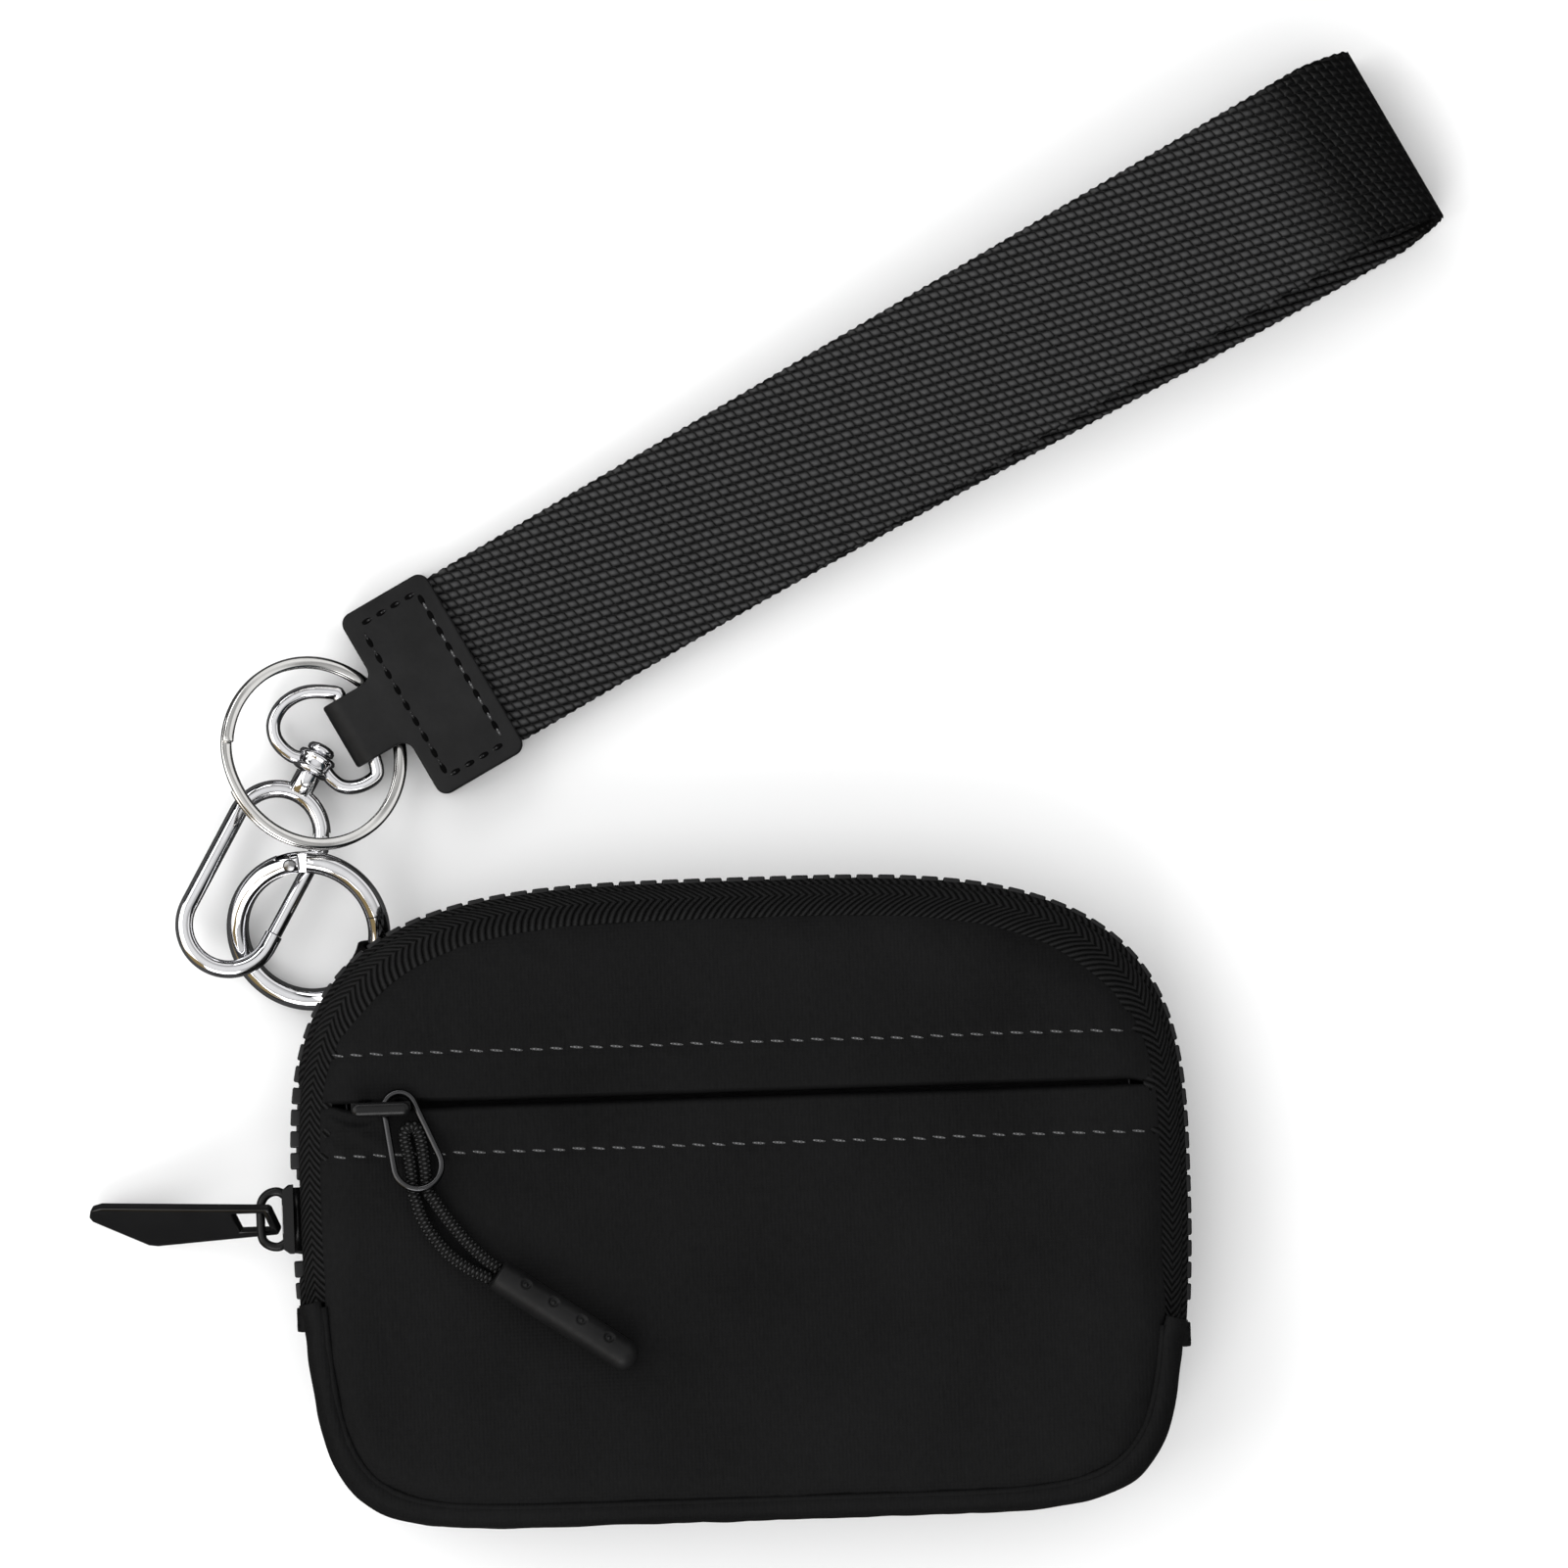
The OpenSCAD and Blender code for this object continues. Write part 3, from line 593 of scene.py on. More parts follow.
# ---- pocket pull cord
strand_a = [(-33.8, -9.2), (-35, -8.6), (-36.6, -7.8), (-39.2, -5.8), (-41.4, -3.2), (-42.9, -0.6),
            (-43.5, 1.5)]
bight = [(-43.85, 2.6), (-44.1, 5.4), (-44.4, 8), (-44.8, 10), (-44.6, 11.2), (-43.9, 11.6),
         (-43.1, 11.2), (-42.6, 9.6), (-42.35, 7.6), (-42.15, 5.4), (-41.95, 3)]
strand_b = [(-41.2, 1.8), (-40.2, 0.2), (-38.6, -2), (-36.7, -4.3), (-34.8, -6.2), (-33.6, -7.2),
            (-32.7, -7.9)]
cord_z = TOP_Z + CORD_D / 2 + 0.15
cord_path = smooth_path([(x, y, cord_z) for x, y in strand_a + bight + strand_b], 110)
cord = sweep("pull_cord_braid", cord_path, M_CORD, d=CORD_D, sides=14, per_turn=6.0)
cord_len = lengths(cord_path)[-1] * MM

# ---- stitches
def stitches(name, path, mat, body, slot, step=2.9, gap=0.9, width=0.42, height=0.16, up=(0, 0, 1),
             matrix=None, sink=0.0, wobble=0.0, slant=0.0):
    """A row of thread stitches; each one is a short rounded run of thread that dips at both ends."""
    s = lengths(path)
    pts = [Vector(p) for p in path]
    verts, faces, tex = [], [], {}

    def at(x):
        x = min(max(x, 0), s[-1] - 1e-6)
        i = max(k for k in range(len(s) - 1) if s[k] <= x)
        p = pts[i].lerp(pts[i + 1], (x - s[i]) / max(s[i + 1] - s[i], 1e-9))
        return p, (pts[i + 1] - pts[i]).normalized()

    count = int(s[-1] / step)
    upv = Vector(up)
    for q in range(count):
        a, n, m = q * step + gap / 2, 7, 8
        b = a + step - gap
        off = wobble * noise.noise(Vector((q * 3.7, 1.2, 0)))
        lean = slant * (0.7 + 0.6 * noise.noise(Vector((q * 2.3, 7.2, 0))))
        for i in range(n):
            f = i / (n - 1)
            p, t = at(a + (b - a) * f)
            side = t.cross(upv).normalized()
            swell = sin(pi * (0.08 + 0.84 * f)) ** 0.5
            for k in range(m):
                w = 2 * pi * k / m
                v = p + side * (cos(w) * width / 2 * swell + off + lean * (f - 0.5)) \
                    + upv * (sin(w) * height * swell - sink * (1 - swell))
                tex[len(verts)] = ((a + (b - a) * f) * MM, k / m * MM)
                verts.append(v)
        base = q * n * m
        for i in range(n - 1):
            for k in range(m):
                faces.append((base + i * m + k, base + i * m + (k + 1) % m,
                              base + (i + 1) * m + (k + 1) % m, base + (i + 1) * m + k))
        faces.append(tuple(base + k for k in range(m - 1, -1, -1)))
        faces.append(tuple(base + (n - 1) * m + k for k in range(m)))
    ob = make(name, verts, faces, mat, lambda k, v: tex[v], matrix=matrix)
    return piece(ob, body, slot)


# ---- cloth panels
def panel_rows(y0, y1, step=0.7):
    n = round((y1 - y0) / step)
    return [y0 + (y1 - y0) * i / max(1, n) for i in range(n + 1)]


def front_inset(y):
    """The front panel's seam lies closer to the outline under the zip ends."""
    return 5.0 - 0.95 * ease((34 - y) / 20) - 0.65 * ease((-8 - y) / 9)


def crumple(x, y, d, side=1.0):
    """Height of the soft folds of thin nylon over its padding."""
    z = 0.16 * fuzz(x, y, 1.0 * side, 23) + 0.10 * fuzz(x * 1.6, y, 2.0, 9) + 0.05 * fuzz(x, y * 1.5, 3.0, 4)
    rim = exp(-d / 5.0)
    z += rim * 0.28 * fuzz(x, y, 4.0, 4.2)
    crease = 1 - min(1.0, abs(fuzz(x * 0.8, y * 1.3, 5.0, 13)) * 9)
    z -= 0.10 * crease * (0.4 + rim)
    return z


def front_height(x, y, inset, lip=None):
    d = max(0.0, depth_in(x, y, inset))
    z = 24.95 - 1.75 * (1 - min(1.0, d / 5.5)) ** 2.6
    z += crumple(x, y, d) * (1 - 0.2 * exp(-d))
    for line, pull in ((21.5, 0.34), (7.9, 0.34)):
        off = abs(y - line)
        pucker = 0.5 + 0.5 * sin(x * 2 * pi / 2.9)
        z -= pull * exp(-(off / 0.55) ** 2) * (0.75 + 0.25 * pucker)
        z += 0.06 * exp(-(off / 2.0) ** 2) * sin(x * 2.05 + 3 * fuzz(x, y, 8.0, 6))
    left = exp(-((x + 53) / 5) ** 2 - ((y - 10.5) / 4) ** 2)
    z -= left * 0.55 * (0.6 + 0.4 * sin((x * 0.45 + y) * 1.7))
    for a, b, deep in ((11.0, -0.16, 0.42), (12.9, -0.34, 0.3)):
        run = ease((x + 56.5) / 1.5) * (1 - ease((x + 50.5) / 4))
        off = y - (a + b * (x + 54) + 0.05 * (x + 54) ** 2)
        z += run * deep * (0.8 * exp(-((off - 0.75) / 0.6) ** 2) - exp(-(off / 0.45) ** 2))
    right = exp(-((x - 53) / 5) ** 2 - ((y - 12.5) / 4) ** 2)
    z -= right * 0.4 * (0.6 + 0.4 * sin((-x * 0.4 + y) * 1.9))
    if lip is not None:
        off = abs(y - lip)
        z -= 1.2 * (1 - min(1.0, off / 0.7)) ** 2.6
        z += 0.10 * exp(-((off - 2.2) / 1.2) ** 2)
    return min(z, 25.17)


def slit_shift(x, y):
    """The slit narrows to a point at both ends, and its lips wander a little."""
    off = abs(y - SLIT_Y)
    if off > 4 or abs(y) > 25:
        return y
    pinch = ease((-51.6 - x) / 3.4) + ease((x - 52.2) / 3.2)
    move = pinch * 0.57 * (1 - ease((off - 0.6) / 3.2))
    lean = 0.3 * pinch * (1 - ease((off - 0.6) / 3.2)) * (1 if x < 0 else -1)
    move += 0.3 * (1 - 0.65 * exp(-((x + 46) / 8) ** 2)) * (1 - pinch) * (1 - ease((off - 0.6) / 2.6))
    return y - copysign(move, y - SLIT_Y) + lean


def panel(name, ys, inset_of, height, mat, thick, columns=170, flip=False, solid=True):
    rows = []
    for y in ys:
        ins = inset_of(y)
        xs = side_x(y, ins)
        row = []
        for j in range(columns + 1):
            u = 2 * j / columns - 1
            x = (sin(pi / 2 * u) * 0.35 + u * 0.65) * xs
            row.append((x, slit_shift(x, y), height(x, y, ins)))
        rows.append(row)
    if flip:
        rows = [r[::-1] for r in rows]
    ob = grid(name, rows, mat, lambda i, j: (rows[i][j][0] * MM, rows[i][j][1] * MM))
    if solid:
        mod(ob, "SOLIDIFY", thickness=thick * MM, offset=-1.0)
        bevel(ob, 0.2)
    return bake(ob)


yoke_rows = panel_rows(SLIT_Y + 0.62, SLIT_Y + 2.4, 0.16) + panel_rows(SLIT_Y + 2.8, 36.6, 0.42) \
    + [36.9, 37.2, 37.5, 37.75, 38.0, 38.2, 38.35, 38.47, 38.55, 38.585]
yoke = panel("yoke_cloth", yoke_rows, front_inset,
             lambda x, y, i: front_height(x, y, i, SLIT_Y + 0.62), M_SHELL, 0.8)
piece(yoke, "front", "shell_cloth", "front_yoke")

lower_rows = [-40.08, -40.04, -39.95, -39.8, -39.6, -39.35, -39.0, -38.6] \
    + panel_rows(-38.2, SLIT_Y - 2.8, 0.55) + panel_rows(SLIT_Y - 2.4, SLIT_Y - 0.62, 0.16)
pocket = panel("front_cloth", lower_rows, front_inset,
               lambda x, y, i: front_height(x, y, i, SLIT_Y - 0.62), M_SHELL, 0.8)
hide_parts("pocket_panel", "front_base_panel")
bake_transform(pocket)

for line, x0, x1, nm in ((21.5, -54.6, 54.4, "yoke_topstitch"), (7.9, -54.8, 55.2, "pocket_topstitch")):
    path = [(x, line + 0.12 * fuzz(x, 0, 6.0, 15), front_height(x, line, front_inset(line)) + 0.06)
            for x in [x0 + (x1 - x0) * i / 300 for i in range(301)]]
    stitches(nm, path, M_THREAD, "front", "shell_cloth", step=2.7, gap=1.0, width=0.36, height=0.15,
             wobble=0.1, slant=0.3)


# ---- walls: tapes and gusset
def wall(name, section, t0, t1, mat, steps, body, slot, nodes, inset_push=None, ripple=0.0, thick=0.6):
    """A strip round the outline; section is a list of (inset, height) from one edge to the other.
    inset_push moves it inwards, by angle and height."""
    rows, s = [], 0.0
    last = None
    marks = []
    for i in range(steps + 1):
        t = t0 + (t1 - t0) * i / steps
        p = Vector((*edge(t, 1.5), 0))
        if last is not None:
            s += (p - last).length
        last = p
        marks.append(s)
        row = []
        for k, (ins, z) in enumerate(section):
            push = inset_push(t, z) if inset_push else 0.0
            soft = ripple * fuzz(s, z * 2, 7.0, 5.0) * sin(pi * k / (len(section) - 1))
            q = edge(t, ins + push + soft)
            row.append((q[0], q[1], z + ripple * 0.5 * fuzz(s, z, 9.0, 4.0)))
        rows.append(row)
    across = [0.0]
    for a, b in zip(section, section[1:]):
        across.append(across[-1] + hypot(b[0] - a[0], b[1] - a[1]))
    ob = grid(name, rows, mat, lambda i, j: (marks[i] * MM, across[j] * MM))
    mod(ob, "SOLIDIFY", thickness=thick * MM, offset=0.0)
    bevel(ob, 0.12)
    return piece(bake(ob), body, slot, *nodes)


def dent(t, z):
    """The rear tape is pressed in beside the gated ring, round 144 degrees."""
    x = (t - 144) / 20
    if abs(x) >= 1:
        return 0.0
    return 2.6 * cos(pi / 2 * x) ** 2 * ease((z - 1.2) / 3.0) * ease((10.2 - z) / 2.0)


def lane(t, z):
    """The tapes draw back on the straight run where the main slider travels."""
    x, y = edge(t, 1.5)
    return 1.0 * ease((y + 9) / 2.5) * ease((18.5 - y) / 2.5) if x < 0 else 0.0


def gusset_push(t, z):
    """The lower wall bulges out under the zip's end tabs."""
    return -0.5 * (1 - ease(min(abs(t - GUSSET_T0), abs(t - GUSSET_T1)) / 2.5))


FRONT_T0, FRONT_T1 = RIGHT_T + 0.05, LEFT_T - 0.05
REAR_T0, REAR_T1 = RIGHT_T - 0.4, LEFT_T + 0.4
GUSSET_T0, GUSSET_T1 = RIGHT_T + 360.35, LEFT_T - 0.35
front_tape = [(5.5, 23.35), (4.9, 23.2), (4.2, 22.6), (3.5, 21.6), (2.8, 20.3), (2.1, 18.9), (1.65, 17.6),
              (1.5, 16.6), (1.5, 15.5)]
rear_tape = [(1.5, 9.5), (1.5, 8.4), (1.9, 7.2), (2.7, 5.6), (3.7, 4.1), (4.9, 2.8), (6.3, 1.5)]
wall("front_tape_cloth", front_tape, FRONT_T0, FRONT_T1, M_TAPE, 240, "front", "zip_tape", ["front_zip_tape"],
     ripple=0.06)
wall("rear_tape_cloth", rear_tape, REAR_T0, REAR_T1, M_TAPE, 240, "pouch", "zip_tape", ["rear_zip_tape"],
     inset_push=dent, ripple=0.05)
front_bead = [(0.8, 13.5), (0.62, 14.2), (0.62, 15.0), (0.9, 15.8), (1.3, 16.6)]
rear_bead = [(1.1, 11.4), (0.95, 10.7), (0.95, 10.0), (1.15, 9.3), (1.4, 8.6)]
wall("front_tape_bead", front_bead, FRONT_T0, FRONT_T1, M_TAPE, 240, "front", "zip_tape", ["front_zip_tape"],
     inset_push=lane, thick=0.4)
wall("rear_tape_bead", rear_bead, REAR_T0, REAR_T1, M_TAPE, 240, "pouch", "zip_tape", ["rear_zip_tape"],
     inset_push=lambda t, z: dent(t, z) + lane(t, z), thick=0.4)
gusset_sec = [(3.55, 23.3), (3.1, 23.75), (2.5, 23.85), (1.95, 23.3), (1.7, 22.3), (1.45, 20.6), (1.25, 18.2),
              (1.15, 15.4), (1.2, 12.5), (1.5, 9.6), (2.2, 7.0), (3.3, 4.6), (4.7, 2.6), (6.2, 1.3)]
wall("gusset_cloth", gusset_sec, GUSSET_T0, GUSSET_T1, M_SHELL, 260, "pouch", "shell_cloth", ["gusset"],
     inset_push=gusset_push, ripple=0.22, thick=0.8)
welt = [Vector((*edge(t, 3.6), 23.6 + 0.12 * fuzz(t, 0, 3, 2.0)))
        for t in [RIGHT_T + 359 - i * 1.5 for i in range(101)]]
piece(sweep("bottom_welt", welt, M_SHELL, d=1.0, sides=12), "pouch", "shell_cloth")

# ---- back, linings and pocket
def back_height(x, y, inset):
    d = max(0.0, depth_in(x, y, inset))
    soft = 0.12 * abs(fuzz(x, y, 11.0, 14)) * exp(-3 / (d + 0.1))
    return 0.05 + 1.1 * (1 - min(1.0, d / 3.5)) ** 2.4 + soft


back_rows = [-37.05, -36.9, -36.6] + panel_rows(-36.2, 36.2, 0.7) + [36.6, 36.9, 37.05]
back = panel("back_cloth", back_rows, lambda y: 6.5, back_height, M_SHELL, -0.75, flip=True)
for v in back.data.vertices:
    v.co.z = max(v.co.z, 0.04 * MM)
piece(back, "pouch", "shell_cloth", "rear_panel")
rear_lining = panel("rear_lining_cloth", panel_rows(-34.5, 34.5, 1.1), lambda y: 8.2,
                    lambda x, y, i: 1.42 + 0.1 * fuzz(x, y, 13.0, 7), M_LINING, 0.25, columns=90)
piece(rear_lining, "pouch", "lining", "rear_lining")
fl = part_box("front_lining")
fz = fl[0][2] / MM
front_lining = panel("front_lining_cloth", panel_rows(max(fl[0][1] / MM, -24.4), 35.5, 1.1), lambda y: 7.4,
                     lambda x, y, i: fz + 0.35 + 0.08 * fuzz(x, y, 14.0, 7), M_LINING, 0.22, columns=90)
piece(front_lining, "front", "lining", "front_lining")

bag = from_cad("pocket_bag", M_LINING, 0.35, 3, "pocket_bag_cloth", 40)
for v in bag.data.vertices:
    v.co.z = min(v.co.z, 23.4 * MM)
piece(bag, "front", "lining", "pocket_bag")

# ---- zip details
def tooth_course():
    pts = [Vector((*edge(200 - i * 0.25, TOOTH_INSET), 0)) for i in range(897)]
    return pts, lengths(pts)


def teeth(name, shift, side, body, node):
    """Moulded teeth: a broad foot clamped on the tape and a narrower head that interlocks."""
    pts, s = tooth_course()
    bm = bmesh.new()
    x, i = shift, 0
    while x < s[-1] - 0.1:
        while s[i + 1] < x:
            i += 1
        p = pts[i].lerp(pts[i + 1], (x - s[i]) / (s[i + 1] - s[i]))
        t = (pts[i + 1] - pts[i]).normalized()
        last_y = -10.1 if p.x < 0 else -15.5
        slider_here = p.x < 0 and -6.2 < p.y < 5.5
        if p.y > last_y and not slider_here:
            travel = p.x < 0 and 4.9 < p.y < 16.2
            out = Vector((t.y, -t.x, 0))
            if out.dot(p) < 0:
                out = -out
            outer = 1.2 if side > 0 else 0.45
            parts = [(1.14, -1.15, outer, 1.45 if travel else 0.95, 2.95)]
            if not travel:
                parts.append((0.62, -0.85, outer - 0.2, -0.55, 1.3))
            for half, r0, r1, z0, z1 in parts:
                cube = bmesh.ops.create_cube(bm, size=1.0)["verts"]
                for v in cube:
                    c = v.co.copy()
                    wide = half * (1.0 if c.z < 0 or half < 1 else 0.94)
                    q = p + t * (c.x * 2 * wide) + out * (r0 + (c.y + 0.5) * (r1 - r0))
                    v.co = Vector((q.x, q.y, MID_Z + side * (z0 + (c.z + 0.5) * (z1 - z0)))) * MM
        x += TOOTH_STEP
    bmesh.ops.recalc_face_normals(bm, faces=bm.faces)
    me = bpy.data.meshes.new(name)
    bm.to_mesh(me)
    bm.free()
    me.materials.append(M_TEETH)
    me.shade_smooth()
    ob = link(name, me)
    bevel(ob, 0.24, 3, 40)
    piece(bake(ob), body, "zip_plastic", node)


teeth("front_teeth_moulded", 0.0, 1, "front", "front_teeth")
teeth("rear_teeth_moulded", TOOTH_STEP / 2, -1, "pouch", "rear_teeth")
pocket_tape = from_cad("pocket_zip_tape", M_TAPE, 0.12, 2, "pocket_tape_cloth")
piece(pocket_tape, "front", "zip_tape", "pocket_zip_tape")
coil = []
for side in (-1, 1):
    run = []
    for i in range(701):
        x = -52 + 104 * i / 700
        phase = x * 2 * pi / 1.2
        run.append((x, SLIT_Y + side * (1.7 + 0.55 * cos(phase)), 22.0 + 0.4 * sin(phase)))
    coil.append(sweep("coil_part", run, M_TEETH, d=0.45, sides=6))
piece(join("pocket_coil_turns", coil), "front", "zip_plastic", "pocket_coil")
tabs = []
for t, side in ((LEFT_T, -1), (RIGHT_T, 1)):
    x, y = edge(t, 1.0)
    rows = []
    for i in range(9):
        row = []
        for k in range(11):
            bow = sin(pi * k / 10)
            out = side * (0.35 + 0.55 * bow ** 0.4) - side * 0.9 * (1 - bow ** 0.3)
            row.append((x + out, y - 3.3 * i / 8 - 0.05 + 0.12 * fuzz(k * 2, i, 3.0, 4), 8.1 + 8.8 * k / 10))
        rows.append(row)
    tab = grid("zip_end_tab", rows, M_SHELL, lambda i, j: (i * 0.4 * MM, j * 0.9 * MM))
    mod(tab, "SOLIDIFY", thickness=0.45 * MM, offset=0.0)
    mod(tab, "SUBSURF", levels=2)
    tabs.append(bake(tab))
piece(join("zip_end_tab_cloth", tabs), "pouch", "shell_cloth", "zip_end_tabs")
for t, side, nm in ((LEFT_T, -1, "left"), (RIGHT_T, 1, "right")):
    for k, dy in enumerate((0.8, 2.5)):
        p = edge(t, 1.0)
        path = [(p[0] + side * 1.0, p[1] - dy, 8.8 + 7.4 * i / 10) for i in range(11)]
        stitches("tab_tack_%s_%d" % (nm, k), path, M_THREAD_D, "pouch", "shell_cloth", step=1.2, gap=0.3,
                 width=0.3, height=0.12, up=(side, 0, 0))

piece(from_cad("loop_tab", M_TAPE, 0.0, 2, "loop_tab_tape"), "pouch", "zip_tape", "loop_tab")

# ---- main slider and its paddle
SLIDER_Y, BAIL_X, NECK_X, PLATE_X = -0.35, -61.6, -61.0, -59.2
slider = from_cad("main_slider", M_ENAMEL, 0.0, 4, "main_slider_plates")
for v in slider.data.vertices:
    if v.co.x < BAIL_X * MM:
        v.co.x = BAIL_X * MM + 0.04 * (v.co.x - BAIL_X * MM)
    if v.co.x < PLATE_X * MM:
        narrow = 0.76 if v.co.x < NECK_X * MM else 0.88
        v.co.y = (SLIDER_Y + narrow * (v.co.y / MM - SLIDER_Y)) * MM
bevel(slider, 0.3, 4, 30)
bail_path = smooth_path([(x, y, MID_Z) for x, y in (
    (-60.9, 2.6), (-62.2, 3.4), (-63.6, 3.1), (-64.5, 1.9), (-64.62, -0.3), (-64.5, -2.7), (-63.7, -3.7),
    (-62.3, -4.0), (-60.9, -3.2))], 90)
bail = sweep("main_slider_bail", bail_path, M_ENAMEL, d=1.2, sides=20)
core = make("slider_core", [(x, y, z) for x in (-60.4, -58.95) for y in (-4.6, 3.9) for z in (11.4, 13.6)],
            [(0, 1, 3, 2), (4, 6, 7, 5), (0, 4, 5, 1), (2, 3, 7, 6), (0, 2, 6, 4), (1, 5, 7, 3)], M_ENAMEL)
piece(join("main_slider_cast", [bake(slider), bail, core]), "main_slider", "black_metal", "main_slider")
PULL_X, STRETCH = -65, 0.085
paddle = from_cad("main_pull", M_GLOSS, 0.28, 4, "main_pull_paddle")
for v in paddle.data.vertices:
    x = v.co.x / MM - PULL_X
    if x < 0:
        v.co.x += STRETCH * x * MM
        v.co.z -= 0.5 * ease((-x - 10.5 + 0.45 * (v.co.y / MM)) / 3.2) * MM
piece(paddle, "main_pull", "gloss_black", "main_pull")

# ---- pocket slider, its wire loop and the cord's end
CROWN = Vector((-47.9, 14.12, 27.45))
small = from_cad("pocket_slider", M_ENAMEL, 0.0, 4, "pocket_slider_base")
for v in small.data.vertices:
    if v.co.z > 26.9 * MM:
        v.co = [(c + k * (q / MM - c)) * MM for q, c, k in zip(v.co, CROWN, (0.85, 0.6, 0.5))]
xs = [3.95 * sin(pi / 2 * (2 * i / 40 - 1)) for i in range(41)]
crown_r = [0.98 * sqrt(max(0.0004, 1 - max(0, abs(x) - 2.95) ** 2)) for x in xs]
crown = turned("pocket_crown", [(x, 0, 0) for x in xs], crown_r, M_ENAMEL,
               matrix=shift_by(CROWN) @ Matrix.Diagonal((1, 1, 0.66, 1)))
piece(join("pocket_slider_cast", [small, crown]), "pocket_slider", "black_metal", "pocket_slider")


def link_points(c1, r1, c2, r2, n):
    """A closed loop round two circles, joined by straight runs."""
    vx, vy = c2[0] - c1[0], c2[1] - c1[1]
    base = degrees(atan2(vy, vx))
    a = degrees(acos((r1 - r2) / hypot(vx, vy)))
    return arc(r1, base + a, base - a + 360, n, c1) + arc(r2, base - a, base + a, n, c2)


loop_m = shift_by((0, 14.2, 26.0)) @ turn("X", -8) @ shift_by((0, -14.2, 0))
loop_pts = link_points((-45.4, 14.2), 2.1, (-43.2, 6.4), 3.2, 30)
wire = sweep("pull_wire", loop_pts, M_GUN, d=0.95, sides=20, closed=True, matrix=loop_m)
piece(wire, "pull_loop", "black_metal", "pull_wire_loop")
tip_a, tip_b = Vector((-33, -8.5, 27.55)), Vector((-14.8, -21, 27.55))
tip_l, tip_r = (tip_b - tip_a).length, 2.2


def tip_radius(w):
    """The rubber end is a rod with an eased near end and a round far end."""
    end = w - (tip_l - tip_r)
    if end > 0:
        return tip_r * sqrt(max(0.0, 1 - (end / tip_r) ** 2)) + 0.002
    return tip_r * (1 - max(0.0, (0.5 - w) / 0.5) ** 3 * 0.22)


def tip_cut(w, a, r):
    """Four round dimples, each with a raised middle, in a row along the rod."""
    cut = 0.0
    for j in range(4):
        across = ((a - radians(62) + pi) % (2 * pi) - pi) * r
        d = hypot(w - (4.0 + 4.4 * j), across)
        cut += 0.42 * exp(-(d / 0.62) ** 4) - 0.5 * exp(-(d / 0.3) ** 2) \
            - 0.05 * exp(-((d - 0.9) / 0.2) ** 2)
    return cut


tip_rows = []
for i in range(230):
    w = tip_l * i / 229
    r = tip_radius(w)
    row = []
    for k in range(96):
        a = 2 * pi * k / 96
        q = r - tip_cut(w, a, r)
        row.append((w, q * cos(a), q * sin(a)))
    tip_rows.append(row)
tip_dir = degrees(atan2(tip_b.y - tip_a.y, tip_b.x - tip_a.x))
tip_m = shift_by(tip_a) @ turn("Z", tip_dir)
tip = grid("cord_end_rubber", [r[::-1] for r in tip_rows], M_RUBBER, wrap=True, caps=True, matrix=tip_m)
piece(tip, "cord", "soft_plastic", "cord_end")
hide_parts("pull_cord", "cord_bight")
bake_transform(cord)

# ---- gate ring, hook, swivel
for node, body in (("gate_ring", "gate_ring"), ("ring_gate", "ring_gate"), ("hook_body", "hook"),
                   ("hook_gate", "hook_gate")):
    piece(from_cad(node, M_CHROME, 0.0, 2, body + "_plated"), body, "chrome", node)


def rivet(name, at, axis, half, head, shank, body, node):
    """A pin with a low domed head at each end and a groove round it."""
    dome = [(0, 0.05), (0, head * 0.5), (0.08, head * 0.8), (0.22, head * 0.97), (0.34, head), (0.42, head),
            (0.44, shank)]
    xs = [(d - half, r) for d, r in dome] + [(half - d, r) for d, r in dome[::-1]]
    m = shift_by(at) @ axis.to_track_quat("X", "Z").to_matrix().to_4x4()
    pin = turned(name, [(x, 0, 0) for x, _ in xs], [r for _, r in xs], M_PIN, sides=36, matrix=m)
    piece(pin, body, "chrome", node)


hinge_at = Vector((-9.4, -HOOK_R, 0))
collar_x = (-1.5, -1.5, -1.42, -1.3, -0.1, -0.06, 0.06, 0.1, 1.3, 1.42, 1.5, 1.5)
collar_r = (0.9, 1.12, 1.22, 1.26, 1.26, 1.18, 1.18, 1.26, 1.26, 1.22, 1.12, 0.9)
collar = turned("hook_hinge_collar", [hinge_at + Vector((x, 0, 0)) for x in collar_x], collar_r, M_CHROME,
                sides=40, matrix=HOOK_M)
piece(collar, "hook", "chrome")
rivet("ring_gate_rivet", RING_M @ polar(RING_R, 100), RING_M.col[2].to_3d(), 1.82, 0.95, 0.48, "gate_ring",
      "ring_gate_pin")
rivet("hook_gate_rivet", HOOK_M @ hinge_at, HOOK_M.col[2].to_3d(), 1.45, 0.72, 0.38, "hook", "hook_gate_pin")

stem = turned("hook_rivet_head", [(x, 0, 0) for x in (-1.65, -1.6, 1.6, 1.6, 1.75, 2.2, 2.6, 2.82, 2.9)],
              (1.0, 1.05, 1.05, 1.7, 1.86, 1.9, 1.6, 0.95, 0.25), M_CHROME, matrix=HOOK_M)
piece(stem, "hook", "chrome", "hook_rivet")
eye_c = PIVOT + polar(3.3, HOOK_DIR)
bar_u = -11.7 - (STRAP_M.inverted() @ eye_c).x
back_turn = turn("Z", -STRAP_DIR)


def arm(*pts):
    """Points beside the hub, given from the pivot in plan, in the eye's own frame."""
    return [back_turn @ (PIVOT + Vector((x, y, 0)) - eye_c) for x, y in pts]


